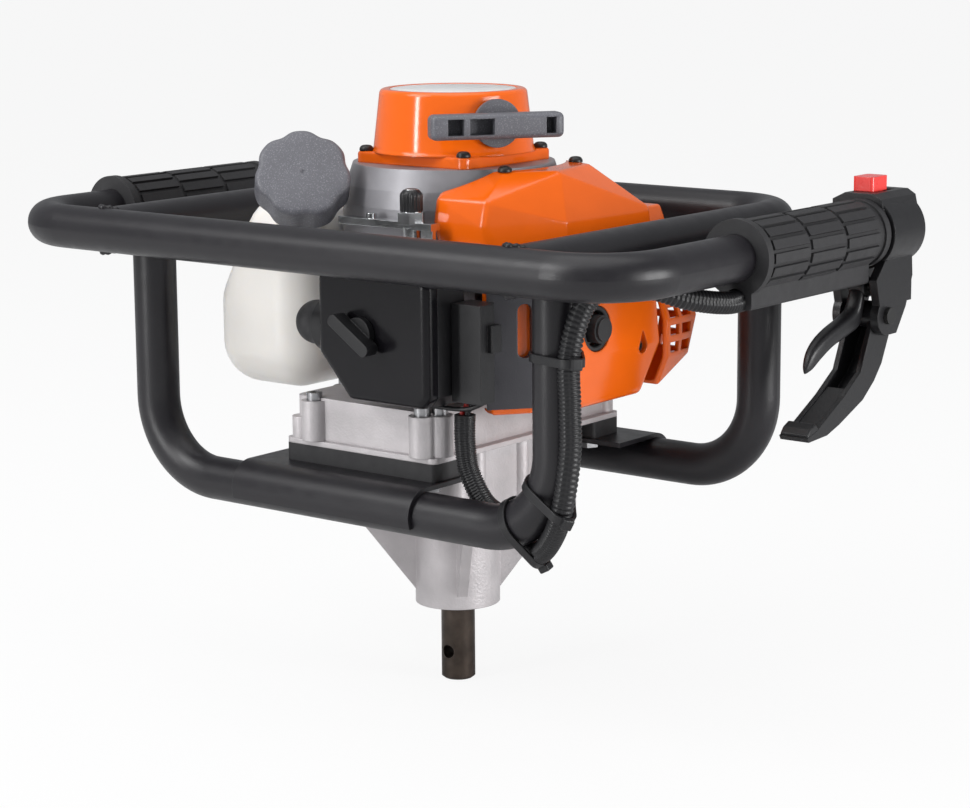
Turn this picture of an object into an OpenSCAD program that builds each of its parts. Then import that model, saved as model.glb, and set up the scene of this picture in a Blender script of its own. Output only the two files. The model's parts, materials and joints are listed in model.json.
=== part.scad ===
// Earth auger power head: tube frame, two-stroke engine with a vertical crank, reduction gearbox.
// Millimetres, +Z up, front bar toward -Y.
// The origin is on the output shaft's axis, where its end chamfer starts.

/* [Output shaft] */
// Diameter of the output shaft
shaft_d = 20; // [16:0.5:26]
// Length of shaft below the gearbox nose
shaft_out = 46; // [30:1:80]
// Diameter of the cross hole for the drill's pin
pin_d = 8; // [5:0.5:10]
// Height of the cross hole above the shaft's end chamfer
pin_z = 16; // [10:0.5:30]

/* [Gearbox] */
// Diameter of the gearbox nose
nose_d = 50; // [46:1:60]
// Height of the nose below the lower case
nose_h = 54; // [40:1:70]
// Width of the gear case across the engine's sides
case_w = 100; // [92:1:120]
// Wall of the gear case
case_wall = 4; // [3:0.5:6]
// Height of the upper case above its parting face
upper_h = 24.6; // [22:0.2:34]
// Thickness of the mounting flange
flange_t = 3; // [2:0.5:6]
// Module of the gear teeth
gear_m = 1.25; // [1:0.05:1.3]
// Teeth on each pinion
pinion_z = 11; // [10:1:13]
// Teeth on each large gear
wheel_z = 55; // [49:1:56]
// Face width of the large gears
gear_face = 10; // [7:0.5:11]
// Thickness of the nose's ribs
nose_rib_t = 6; // [4:0.5:10]

/* [Frame] */
// Outside diameter of the frame tubes
tube_d = 25; // [22:0.5:30]
// Wall of the frame tubes
tube_wall = 2; // [1.2:0.1:3]
// Height of the handle ring's axis above the shaft's end chamfer
ring_z = 270; // [250:1:290]
// Distance of the front and back bars from the shaft's axis
bar_y = 139; // [130:1:155]
// Distance of the handle arms from the shaft's axis
arm_x = 213; // [205:1:240]
// Distance of the ring's arms and the posts from the shaft's axis
post_x = 146; // [136:1:155]
// Bend radius of the handle's corners
handle_bend = 38; // [32:1:50]
// Bend radius of the ring's back corners
ring_bend = 40; // [32:1:50]
// Distance of the two hoops from the shaft's axis
hoop_y = 98; // [94:1:104]
// Height of the hoops' lower bars above the shaft's end chamfer
hoop_z = 124; // [118:1:130]
// Bend radius of the hoops
hoop_bend = 45; // [36:1:55]
// How far the left arm runs behind the shaft's axis
left_arm_end = 56; // [50:1:90]
// How far the right arm runs behind the shaft's axis
right_arm_end = 140; // [136:1:150]

/* [Mounts] */
// Thickness of the mount plates
plate_t = 2.7; // [2:0.1:4]
// Length of each mount plate along its bar
plate_len = 131; // [116:1:150]
// Sideways shift of each mount plate
plate_shift = 8.5; // [0:0.5:14]
// Length of the rubber isolators
iso_len = 108; // [96:1:112]
// Depth of the rubber isolators
iso_depth = 25; // [20:0.5:26]
// Thickness of the rubber isolators
iso_t = 10.2; // [6:0.2:16]
// Distance of the isolators' outer faces from the shaft's axis
iso_y = 87.5; // [85:0.5:92]
// Diameter of the mount bolts
mount_bolt_d = 8; // [6:0.5:10]

/* [Grips] */
// Length of each grip
grip_len = 128; // [116:1:136]
// Thickness of the grips' rubber
grip_wall = 5.4; // [4:0.2:7]
// Height of the grips' ribs
grip_rib_h = 1.3; // [0.6:0.1:2]
// Ribs around each of a grip's three groups
grip_ribs = 16; // [12:1:18]
// Depth of the cable channel under the right grip
keel_h = 8; // [5:0.5:10]

/* [Throttle unit] */
// Length of the clamp along the handle
clamp_len = 34; // [28:1:38]
// Wall of the clamp around the handle
clamp_wall = 8; // [6:0.5:10]
// Width of the trigger lever
trigger_w = 18; // [16:0.5:24]
// Diameter of the lever pins
lever_pin_d = 6; // [4:0.5:7]
// Travel of the stop switch
switch_travel = 6; // [3:0.5:7]

/* [Engine] */
// Height of the cylinder's axis above the gear case
crank_h = 41; // [39:0.5:46]
// Bore of the cylinder
bore_d = 44; // [38:0.5:46]
// Stroke of the piston
stroke = 32; // [26:1:32]
// Fins along the cylinder
fin_count = 7; // [5:1:8]
// Radius of the fan housing
fan_r = 64; // [60:0.5:66]
// Height of the fan housing
fan_h = 62.5; // [58:0.5:70]
// Vanes on the flywheel
vane_count = 16; // [10:1:20]
// Side of the recoil starter's square flange
recoil_side = 81; // [76:1:90]
// Height of the recoil starter's cone
recoil_h = 35; // [32:0.5:45]
// Radius of the cone's foot
cone_r = 45.8; // [44:0.2:48]
// Radius of the cone's top
cone_top_r = 41.4; // [40:0.2:44]
// Length of the starter's handle
handle_len = 76; // [70:1:84]
// Diameter of the starter's rope
rope_d = 4; // [3:0.5:5]
// Diameter of the fuel cap
cap_d = 54; // [46:0.5:58]
// Length of the fuel tank along the front
tank_w = 77; // [66:1:84]
// Depth of the fuel tank, front to back
tank_d = 144; // [120:1:146]
// Height of the fuel tank
tank_h = 112; // [100:1:116]

/* [Cable conduit] */
// Outside diameter of the ribbed conduit
loom_d = 12; // [9:0.5:13]
// Bore of the ribbed conduit
loom_bore = 8; // [6:0.2:9]
// Ribs along the conduit
loom_ribs = 190; // [60:1:200]

/* [Fits] */
// Radial clearance of shafts and pins
fit = 0.05; // [0.02:0.01:0.1]
// Gap between pieces that move past each other
gap = 0.6; // [0.3:0.1:1]
// Wall of the moulded covers
cover_wall = 2.5; // [2:0.1:3]

/* [Hidden] */
$fn = 64;

// Frame
tube_r = tube_d / 2;
grip_r = tube_r + grip_wall;
left_grip_y = left_arm_end + grip_wall - grip_len;
right_grip_end = right_arm_end - clamp_len - 10;
right_grip_y = right_grip_end - grip_len;

// Heights of the gearbox, from the shaft's end chamfer upward
body_z = shaft_out + nose_h;
plate_z = hoop_z + tube_r;
iso_z = plate_z + plate_t;
flange_z = iso_z + iso_t;
split_z = flange_z + flange_t;
deck_z = split_z + upper_h;
mount_x = iso_len / 2 - 13;
mount_y = iso_y - iso_depth / 2;
lower_y = iso_y - iso_depth - 4;

// Gear train: input pinion to counter gear above the parting face, counter pinion to output gear below
pinion_shift = 0.35;
centre = gear_m * (pinion_z + wheel_z) / 2;
wheel_tip = gear_m * (wheel_z / 2 + 1 - pinion_shift);
pinion_tip = gear_m * (pinion_z / 2 + 1 + pinion_shift);
case_y = max(centre + wheel_tip + 2 * case_wall, iso_y - 4);
counter_gear_z = split_z + 2.6;
output_gear_z = body_z + 20;
inner_d = 12;
journal_d = shaft_d + 1;

// Heights of the engine
crank_z = deck_z + crank_h;
fan_z = crank_z + 26;
recoil_z = fan_z + fan_h;
recoil_flange_t = 6.5;
recoil_screw = recoil_side / 2 - 5;
cone_z = recoil_z + recoil_flange_t;
rope_z = cone_z + 18;
rope_angle = -36;
rope_shift = 12.5;
rope_out = 62;
web_r = stroke / 2 + 10;
drum_r = 41;
barrel_x = 36;
head_x = 88;
shroud_end = 102;

// Tank
tank_x = -case_w / 2 - 4;
tank_wide = min(tank_w, post_x - tube_r - 2.5 + tank_x);
tank_lean = 20;
tank_z = deck_z - 3.5;
tank_r = 18;
cap_at = [-45, -80, recoil_z - 7];
cap_tilt = 33;
cap_turn = -45;

// Air filter
filter_x0 = -13;
filter_x1 = 66;
filter_y0 = -74;
filter_y1 = -97;
filter_y2 = -106;
filter_z0 = deck_z + 6.5;
filter_z1 = deck_z + 80;
knob_at = [20, deck_z + 45];
bulb_r = 13;
bulb_cup = 9;
carb_x = 51;
intake_y = -46;
exhaust_y = 45;
arm_at = [42, -62];

// Throttle unit, placed along the right arm
clamp_y0 = right_arm_end - clamp_len - 8;
trigger_pivot = [clamp_y0 + 4, ring_z - 46];
lock_pivot = [clamp_y0 - 1, ring_z - 30];

module at_arm(y, z) translate([arm_x, y, z]) children();
module along_x(len) rotate([0, 90, 0]) cylinder(d = tube_d, h = len);

// A straight tube along Z, hollow or solid
module pipe(len, hollow) linear_extrude(len) difference() {
    circle(d = tube_d);
    if (hollow) circle(d = tube_d - 2 * tube_wall);
}

// A quarter bend in the XY plane, from +X toward +Y about the origin
module bend(radius, hollow) rotate_extrude(angle = 90) translate([radius, 0]) difference() {
    circle(d = tube_d);
    if (hollow) circle(d = tube_d - 2 * tube_wall);
}

module round_rect(x, y, r) {
    square([x - 2 * r, y], center = true);
    square([x, y - 2 * r], center = true);
    for (i = [-1, 1], j = [-1, 1]) translate([i * (x / 2 - r), j * (y / 2 - r)]) circle(r);
}

// The handle tube: front bar and two arms
module handle_run(hollow) translate([0, 0, ring_z]) {
    span = arm_x - handle_bend;
    translate([-span, -bar_y, 0]) rotate([0, 90, 0]) pipe(2 * span, hollow);
    translate([span, handle_bend - bar_y, 0]) rotate([0, 0, -90]) bend(handle_bend, hollow);
    translate([-span, handle_bend - bar_y, 0]) rotate([0, 0, 180]) bend(handle_bend, hollow);
    translate([arm_x, handle_bend - bar_y, 0]) rotate([-90, 0, 0])
        pipe(right_arm_end + bar_y - handle_bend, hollow);
    translate([-arm_x, handle_bend - bar_y, 0]) rotate([-90, 0, 0])
        pipe(left_arm_end + bar_y - handle_bend, hollow);
}

module handle_tube() color("#2b2b2e") handle_run(true);

// The inner ring: back bar and two arms that are welded to the front bar
module ring_run(hollow) translate([0, 0, ring_z]) {
    span = post_x - ring_bend;
    translate([-span, bar_y, 0]) rotate([0, 90, 0]) pipe(2 * span, hollow);
    translate([span, bar_y - ring_bend, 0]) bend(ring_bend, hollow);
    translate([-span, bar_y - ring_bend, 0]) rotate([0, 0, 90]) bend(ring_bend, hollow);
    for (side = [-1, 1]) translate([side * post_x, -bar_y, 0]) rotate([-90, 0, 0])
        pipe(2 * bar_y - ring_bend, hollow);
}

module ring_tube() color("#2b2b2e") difference() {
    ring_run(true);
    translate([-arm_x, -bar_y, ring_z]) along_x(2 * arm_x);
}

// A hoop in the XZ plane, its posts coped under the ring's arms
module hoop(y) difference() {
    translate([0, y, hoop_z]) {
        span = post_x - hoop_bend;
        translate([-span, 0, 0]) rotate([0, 90, 0]) pipe(2 * span, true);
        for (side = [0, 1]) mirror([side, 0, 0]) {
            translate([span, 0, hoop_bend]) rotate([90, 0, 0]) rotate([0, 0, -90]) bend(hoop_bend, true);
            translate([post_x, 0, hoop_bend]) pipe(ring_z - hoop_z - hoop_bend, true);
        }
    }
    ring_run(false);
}

module front_hoop() color("#2b2b2e") hoop(-hoop_y);
module rear_hoop() color("#2b2b2e") hoop(hoop_y);

// A sheet wrapped over the lower bar, with a flat shelf under the isolator
module mount_plate() difference() {
    translate([plate_shift - plate_len / 2, 0, 0]) rotate([90, 0, 90]) linear_extrude(plate_len) {
        difference() {
            translate([hoop_y, hoop_z]) circle(tube_r + plate_t);
            translate([hoop_y, hoop_z]) circle(tube_r);
            translate([hoop_y - 2 * tube_d, hoop_z - 2 * tube_d]) square([2 * tube_d, 4 * tube_d]);
            translate([hoop_y, hoop_z - 2 * tube_d]) square([2 * tube_d, 2 * tube_d - 6]);
        }
        translate([iso_y - iso_depth - 2, plate_z]) square([hoop_y - iso_y + iso_depth + 2, plate_t]);
    }
    for (x = [-mount_x, mount_x]) translate([x, mount_y, plate_z - 1])
        cylinder(d = mount_bolt_d, h = plate_t + 2);
}

module rear_mount_plate() color("#2b2b2e") mount_plate();
module front_mount_plate() color("#2b2b2e") rotate([0, 0, 180]) mount_plate();

module isolator() difference() {
    translate([0, mount_y, iso_z]) linear_extrude(iso_t) round_rect(iso_len, iso_depth, 2);
    for (x = [-mount_x, mount_x]) translate([x, mount_y, iso_z - 1])
        cylinder(d = mount_bolt_d, h = iso_t + 2);
}

module rear_isolator() color("#161616") isolator();
module front_isolator() color("#161616") rotate([0, 0, 180]) isolator();

module at_mounts() for (turn = [0, 180], x = [-mount_x, mount_x])
    rotate([0, 0, turn]) translate([x, mount_y, 0]) children();

// Hexagon bolts from below, through plate and rubber into the case's corner bosses
module mount_bolts() color("#8c8f94") at_mounts() {
    translate([0, 0, plate_z]) cylinder(d = mount_bolt_d, h = split_z + 8 - plate_z);
    translate([0, 0, plate_z - 5.3]) cylinder(d = mount_bolt_d * 1.7, h = 5.3, $fn = 6);
}

// A grip along +Y with three staggered groups of ribs and a collar at its inner end
module grip_solid() rotate([-90, 0, 0]) {
    cylinder(r = grip_r, h = grip_len);
    cylinder(r = grip_r + 2.6, h = 5);
    translate([0, 0, grip_len - 5]) cylinder(r = grip_r + grip_rib_h, h = 5);
    group = (grip_len - 26) / 3;
    rib_w = 2 * PI * grip_r / grip_ribs - 1.8;
    for (g = [0:2], i = [0:grip_ribs - 1]) rotate([0, 0, (i + (g % 2) / 2) * 360 / grip_ribs])
        translate([grip_r - 0.5, -rib_w / 2, 9 + g * (group + 3)])
            cube([grip_rib_h + 0.5, rib_w, group]);
}

module left_grip() color("#1b1b1c") difference() {
    translate([-arm_x, left_grip_y, ring_z]) grip_solid();
    translate([-arm_x, left_grip_y - 1, ring_z]) rotate([-90, 0, 0])
        cylinder(d = tube_d, h = grip_len + 1 - grip_wall);
}

module right_grip() color("#1b1b1c") difference() {
    union() {
        at_arm(right_grip_y, ring_z) grip_solid();
        at_arm(right_grip_y, ring_z - grip_r - keel_h / 2) rotate([-90, 0, 0])
            linear_extrude(grip_len - 8) {
                round_rect(loom_d + 8, keel_h + 2, 2);
                translate([-loom_d / 2 - 4, -keel_h / 2 - 6]) square([loom_d + 8, 8]);
            }
    }
    at_arm(right_grip_y - 1, ring_z) rotate([-90, 0, 0]) cylinder(d = tube_d, h = grip_len + 2);
    at_arm(right_grip_y - 1, loom_z) rotate([-90, 0, 0]) cylinder(d = loom_d + gap, h = 13);
    at_arm(right_grip_y - 1, loom_z) rotate([-90, 0, 0]) cylinder(d = loom_bore, h = grip_len + 2);
}
loom_z = ring_z - grip_r - keel_h / 2 - 0.5;

// Clamp, switch block and lever fork at the end of the right arm
module throttle_housing() color("#1d1d1f") difference() {
    union() {
        at_arm(clamp_y0, ring_z) rotate([-90, 0, 0]) cylinder(r = tube_r + clamp_wall, h = clamp_len);
        at_arm(clamp_y0 + clamp_len - 2, ring_z) rotate([-90, 0, 0]) cylinder(r = tube_r + 3, h = 10);
        translate([arm_x - 19, clamp_y0 - 1.4, ring_z + 6]) rotate([-90, 0, 0]) rotate([0, 0, -90])
            linear_extrude(clamp_len + 4.4) polygon([[0, 0], [0, 34], [13, 31], [16, 26], [16, 8], [12, 0]]);
        for (side = [-1, 1]) at_arm(0, 0) translate([side * (trigger_w / 2 + gap + 2.5), 0, 0])
            lever_plate(5) fork_outline();
    }
    at_arm(clamp_y0 - 10, ring_z) rotate([-90, 0, 0])
        cylinder(d = tube_d, h = right_arm_end - clamp_y0 + 10);
    at_arm(trigger_pivot[0], trigger_pivot[1]) rotate([0, 90, 0])
        cylinder(d = lever_pin_d, h = 60, center = true);
    at_arm(lock_pivot[0], lock_pivot[1]) rotate([0, 90, 0])
        cylinder(d = lever_pin_d - 2, h = lock_pin_len, center = true);
    switch_place() cube([switch_w + 2 * gap, switch_len + switch_travel + 2 * gap, 16], center = true);
}

switch_w = 13;
switch_len = 17;
switch_rest = -1.7;
module switch_place() translate([arm_x - 4, clamp_y0 + clamp_len / 2, ring_z + 24]) children();

// A plate in the YZ plane, centred on its thickness
module lever_plate(t) rotate([90, 0, 90]) linear_extrude(t, center = true) children();

module fork_outline() {
    translate([clamp_y0 + 2, ring_z - 40]) square([clamp_len - 6, 30]);
    translate(trigger_pivot) circle(11);
    polygon([[clamp_y0 - 9, ring_z - 25], [clamp_y0 - 5, ring_z - 39], trigger_pivot - [8.5, 6],
        trigger_pivot - [2, 11], trigger_pivot + [10, -11], [clamp_y0 + 24, ring_z - 43],
        [clamp_y0 + 31, ring_z - 26], [clamp_y0 + 30, ring_z - 15], [clamp_y0, ring_z - 15]]);
}

// The lock's pin ends inside the fork, the trigger's goes through and has a head
lock_pin_len = trigger_w + 2 * gap + 6;
module lever_pins() color("#222224") {
    at_arm(lock_pivot[0], lock_pivot[1]) rotate([0, 90, 0])
        cylinder(d = lever_pin_d - 2, h = lock_pin_len, center = true);
    at_arm(trigger_pivot[0], trigger_pivot[1]) rotate([0, 90, 0]) {
        cylinder(d = lever_pin_d, h = trigger_w + 2 * gap + 10, center = true);
        translate([0, 0, trigger_w / 2 + gap + 5]) cylinder(d = lever_pin_d * 1.6, h = 2.5);
    }
}

// Long lever: a hub and two cheeks that sweep forward, joined by a floor along their outer edge
cheek_t = 3;
hub_r = 7.5;
module trigger_side() {
    translate(trigger_pivot) circle(hub_r);
    trigger_sweep();
}
module trigger_sweep() translate(trigger_pivot) polygon([[-7, -3], [8, -3], [12, -12], [4, -28], [-4, -37],
    [-16, -46], [-41, -56], [-54, -60], [-73, -61], [-74.5, -58.5], [-65, -56], [-37, -41.5], [-19, -30],
    [-14, -19], [-8.5, -7]]);

module throttle_trigger() color("#1d1d1f") at_arm(0, 0) difference() {
    union() {
        for (side = [-1, 1]) translate([side * (trigger_w - cheek_t) / 2, 0, 0])
            lever_plate(cheek_t) trigger_side();
        lever_plate(trigger_w) difference() {
            trigger_sweep();
            translate([-4.5, 4]) trigger_sweep();
        }
        lever_plate(trigger_w) translate(trigger_pivot) circle(hub_r);
    }
    lever_plate(2 * trigger_w) translate(trigger_pivot) circle(lever_pin_d / 2 + fit);
}

module lock_lever() color("#1d1d1f") at_arm(0, 0) {
    p = lock_pivot;
    lever_plate(trigger_w - 8) difference() {
        union() {
            translate(p) circle(6);
            translate(p) polygon([[-5.8, -1], [-11, -11.5], [-22, -15.5], [-35, -19.2], [-46, -23.5],
                [-54, -29], [-58.5, -36], [-59.5, -40], [-58, -41.8], [-55, -41.4], [-47, -36], [-35, -30],
                [-21, -26.5], [-8, -22.5], [-4.5, -14], [-2, -8], [5.5, -2]]);
        }
        translate(p) circle(lever_pin_d / 2 - 1 + fit);
    }
}

module stop_switch() color("#d8281e") switch_place() translate([0, -switch_travel / 2, switch_rest]) {
    linear_extrude(8) round_rect(switch_w, switch_len, 2);
    translate([0, 0, -5.6]) linear_extrude(6) round_rect(switch_w - 3, switch_len - 4, 1);
}

// Ribbed conduit: from the right grip down the front right post, under the hoop's bend and up behind the bar
loom_reach = tube_r + loom_d / 2 + 0.9;
post_side = -32;
// A point beside the front hoop: angle along its bend from the bar to the post, and side around the tube
function hoop_spot(a) = [post_x, -hoop_y, hoop_z] + hoop_bend * [sin(a) - 1, 0, 1 - cos(a)];
function beside(a, side) = hoop_spot(a) + loom_reach * [cos(side) * sin(a), sin(side), -cos(side) * cos(a)];
function on_post(h) = beside(90, post_side) + [0, 0, h];
loom_top = [69, 20 - hoop_y, deck_z + 1];
loom_route = [[arm_x, right_grip_y + 11, loom_z], [arm_x, right_grip_y - 8, loom_z],
    [post_x + 59, 36 - hoop_y, loom_z + 3.9], [post_x + 42, 13 - hoop_y, loom_z + 11.9],
    [post_x + 24, -3 - hoop_y, loom_z + 6.4], on_post(57), on_post(30), on_post(3),
    beside(62, -28), beside(42, -10), beside(27, 14), beside(14, 50), beside(0, 85),
    loom_top + [15, -1, -48], loom_top + [3, 0, -32], loom_top - [0, 0, 16], loom_top];

// A smooth curve through the route's points
function curve_point(p, i, t) = let(n = len(p) - 1, a = p[max(i - 1, 0)], b = p[i], c = p[i + 1],
    d = p[min(i + 2, n)])
    0.5 * (2 * b + (c - a) * t + (2 * a - 5 * b + 4 * c - d) * t * t + (3 * b - a - 3 * c + d) * t * t * t);
function along(p, u) = let(n = len(p) - 1, v = min(u, 0.99999) * n, i = floor(v)) curve_point(p, i, v - i);
function unit(v) = v / norm(v);
function heading(p, u) = unit(along(p, min(u + 0.004, 1)) - along(p, max(u - 0.004, 0)));
function ring_at(p, u, r, sides) = let(t = heading(p, u), side = unit(cross(t, [0.31, 0.22, 0.93])),
    up = cross(side, t), c = along(p, u))
    [for (k = [0:sides - 1]) c + r * (cos(k * 360 / sides) * side + sin(k * 360 / sides) * up)];

// A tube with a bore: rings of eight sides outside and inside, joined by triangles
module ribbed_tube(route, outer, inner) {
    sides = 8;
    n = len(outer);
    m = len(inner);
    points = concat(
        [for (i = [0:n - 1]) each ring_at(route, i / (n - 1), outer[i], sides)],
        [for (i = [0:m - 1]) each ring_at(route, i / (m - 1), inner[i], sides)]);
    function at(ring, k) = ring * sides + k % sides;
    wall = [for (i = [0:n - 2], k = [0:sides - 1])
        each [[at(i, k), at(i, k + 1), at(i + 1, k + 1)], [at(i, k), at(i + 1, k + 1), at(i + 1, k)]]];
    bore = [for (i = [n:n + m - 2], k = [0:sides - 1])
        each [[at(i, k), at(i + 1, k + 1), at(i, k + 1)], [at(i, k), at(i + 1, k), at(i + 1, k + 1)]]];
    ends = [for (k = [0:sides - 1]) each [
        [at(0, k), at(n, k + 1), at(0, k + 1)], [at(0, k), at(n, k), at(n, k + 1)],
        [at(n - 1, k), at(n - 1, k + 1), at(n + m - 1, k + 1)],
        [at(n - 1, k), at(n + m - 1, k + 1), at(n + m - 1, k)]]];
    polyhedron(points, concat(wall, bore, ends));
}

module cable_conduit() color("#17171a") ribbed_tube(loom_route,
    [for (i = [0:2 * loom_ribs - 1]) i % 2 == 0 ? loom_d / 2 : loom_d / 2 - 0.9],
    [for (i = [0:64]) loom_bore / 2]);

// Ties: straps around tube and conduit, at an angle of the hoop's bend and a height up the post
strap_t = 1.3;
module strap(a, side, h, slack) translate(hoop_spot(a) + [0, 0, h]) rotate([0, 90 - a, 0]) rotate(side) {
    hole_r = loom_d / 2 + slack;
    linear_extrude(4.6, center = true) difference() {
        union() {
            circle(tube_r + 0.3 + strap_t);
            translate([loom_reach, 0]) circle(hole_r + strap_t);
            translate([0, -hole_r - strap_t]) square([loom_reach, 2 * (hole_r + strap_t)]);
        }
        circle(tube_r + 0.3);
        translate([loom_reach, 0]) circle(hole_r);
        translate([0, -hole_r]) square([loom_reach, 2 * hole_r]);
    }
    translate([loom_reach + hole_r + 2.4, 0, 0]) cube([4, 6, 6.4], center = true);
}

module cable_ties() color("#101012") {
    strap(90, post_side, 52, 0.7);
    strap(62, -28, 0, 0.7);
    strap(27, 14, 0, 3.2);
}

// Leads that leave the conduit's upper end for the ignition module
function lead(x) = [loom_top + [x, 0, -6], loom_top + [x, 0, 1], loom_top + [x + 2, 0.5, 4],
    [loom_top[0] + x + 3, loom_top[1] + 1, module_z - 0.4]];
module lead_wires() color("#b5231d") for (x = [-1.8, 1.8])
    ribbed_tube(lead(x), [for (i = [0:8]) 1.5], [for (i = [0:8]) 0.6]);

// Gear outlines: involute flanks, a profile shift that spares the small pinions, and backlash
pressure = 20;
backlash = 0.14;
function involute(a) = tan(a) - a * PI / 180;
module gear_outline(teeth, shift) {
    pitch_r = gear_m * teeth / 2;
    base_r = pitch_r * cos(pressure);
    tip_r = pitch_r + gear_m * (1 + shift);
    root_r = pitch_r - gear_m * (1.25 - shift);
    low_r = max(base_r, root_r) + 0.01;
    half = (PI / 2 + 2 * shift * tan(pressure)) / teeth - backlash / 2 / pitch_r;
    function half_at(r) = (half + involute(pressure) - involute(acos(base_r / r))) * 180 / PI;
    function spot(r, a) = r * [cos(a), sin(a)];
    radii = [low_r, low_r + (tip_r - low_r) / 3, low_r + (tip_r - low_r) * 2 / 3, tip_r];
    polygon([for (i = [0:teeth - 1]) let(c = i * 360 / teeth) each concat(
        [spot(root_r, c - half_at(low_r))], [for (r = radii) spot(r, c - half_at(r))],
        [for (k = [3:-1:0]) spot(radii[k], c + half_at(radii[k]))], [spot(root_r, c + half_at(low_r))])]);
}

module gear(teeth, shift, width, bore_d, turn) rotate([0, 0, turn]) linear_extrude(width) difference() {
    gear_outline(teeth, shift);
    circle(d = bore_d);
}

// A pinion cut on its own shaft
module pinion(turn) linear_extrude(gear_face + 2) rotate(turn) gear_outline(pinion_z, pinion_shift);

// The counter shaft stands behind the output shaft
module at_counter() translate([0, centre, 0]) children();

module output_shaft() color("#3a3634") difference() {
    union() {
        cylinder(d = shaft_d, h = shaft_out);
        translate([0, 0, -1.2]) cylinder(d1 = shaft_d - 3, d2 = shaft_d, h = 1.2);
        translate([0, 0, shaft_out]) cylinder(d = journal_d, h = output_gear_z + gear_face + 4 - shaft_out);
        translate([0, 0, output_gear_z - 4]) cylinder(d = journal_d + 8, h = 4);
    }
    translate([0, 0, pin_z]) rotate([90, 0, 0]) cylinder(d = pin_d, h = 2 * shaft_d, center = true);
}

module output_gear() color("#6d6f73") translate([0, 0, output_gear_z])
    gear(wheel_z, -pinion_shift, gear_face, journal_d, 90 - 180 / wheel_z);

module countershaft() color("#6d6f73") at_counter() {
    low = output_gear_z - 10;
    high = output_gear_z + gear_face + 1;
    translate([0, 0, low]) cylinder(d = inner_d, h = output_gear_z - 1 - low);
    translate([0, 0, output_gear_z - 1]) pinion(-90);
    translate([0, 0, high]) cylinder(d = inner_d, h = counter_gear_z + gear_face + 8 - high);
}

module counter_gear() color("#6d6f73") at_counter() translate([0, 0, counter_gear_z])
    gear(wheel_z, -pinion_shift, gear_face, inner_d, -90 - 180 / wheel_z);

// Bearing seats: place, bore and outside diameter, width
output_low = [shaft_out + 10, journal_d, journal_d + 17, 10];
output_high = [body_z - 8, journal_d, journal_d + 17, 10];
counter_low = [output_gear_z - 10, inner_d, 24, 7];
counter_high = [counter_gear_z + gear_face + 2, inner_d, 24, 6];
input_seat = [deck_z - 8, inner_d, 28, 8];
main_low = [crank_z - 22.5, inner_d + 3, 32, 8];
main_high = [crank_z + 14.5, inner_d + 3, 32, 8];

module bearing(seat) translate([0, 0, seat[0]]) difference() {
    cylinder(d = seat[2], h = seat[3]);
    translate([0, 0, -1]) cylinder(d = seat[1] + 2 * fit, h = seat[3] + 2);
    for (z = [-1, seat[3] - 1]) translate([0, 0, z]) difference() {
        cylinder(d = seat[2] - 5, h = 2);
        cylinder(d = seat[1] + 5, h = 2);
    }
}
module bearing_seat(seat, open) translate([0, 0, seat[0]]) cylinder(d = seat[2], h = seat[3] + open);

module bearings() color("#9a9da2") {
    for (seat = [output_low, output_high, input_seat, main_low, main_high]) bearing(seat);
    at_counter() for (seat = [counter_low, counter_high]) bearing(seat);
}

module oil_seal() color("#141414") translate([0, 0, shaft_out + 2]) difference() {
    cylinder(d = journal_d + 13, h = 7);
    translate([0, 0, -1]) cylinder(d = journal_d + 2 * fit, h = 9);
}

// Corner and side bosses of the gear case
front_boss_x = [-35, 44];
side_boss_y = 40;
spot_depth = 2;
spot_r = 4.8;
module boss_places() for (turn = [0, 180]) rotate([0, 0, turn]) {
    for (x = front_boss_x) translate([x, -case_y, 0]) children();
    for (y = [-side_boss_y, case_y - 8]) translate([case_w / 2, -y, 0]) children();
}

module gearbox_lower_case() color("#b9b6b4") difference() {
    union() {
        translate([0, 0, shaft_out]) cylinder(d = nose_d, h = nose_h + 1);
        translate([0, 0, body_z]) linear_extrude(flange_z - body_z)
            round_rect(case_w - 4, 2 * lower_y, 8);
        translate([0, 0, flange_z]) linear_extrude(flange_t) round_rect(iso_len + 2, 2 * iso_y, 4);
        for (turn = [45:90:315]) rotate([0, 0, turn]) rotate([90, 0, 0])
            linear_extrude(nose_rib_t, center = true) polygon([[nose_d / 2 - 4, shaft_out + 8],
                [nose_d / 2, shaft_out + 8], [case_w * 0.6, body_z], [case_w * 0.6, body_z + 2],
                [nose_d / 2 - 4, body_z + 2]]);
        for (side = [-1, 1], y = [-side_boss_y, 0, side_boss_y])
            translate([side * (case_w / 2 - 3), y, body_z + 14]) cylinder(r = 5, h = flange_z - body_z - 14);
    }
    translate([0, 0, output_gear_z - 6]) linear_extrude(split_z - output_gear_z + 7) {
        circle(wheel_tip + 2);
        translate([0, centre]) circle(pinion_tip + 3.5);
        translate([-pinion_tip - 2, 0]) square([2 * pinion_tip + 4, centre]);
    }
    translate([0, 0, shaft_out - 1]) cylinder(d = journal_d + 2 * gap, h = 40 + nose_h);
    translate([0, 0, shaft_out + 2]) cylinder(d = journal_d + 13, h = 8.1);
    bearing_seat(output_low, output_high[0] - output_low[0] + 20);
    at_counter() bearing_seat(counter_low, 8);
    at_mounts() translate([0, 0, flange_z - 1]) cylinder(d = mount_bolt_d, h = flange_t + 2);
}

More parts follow.
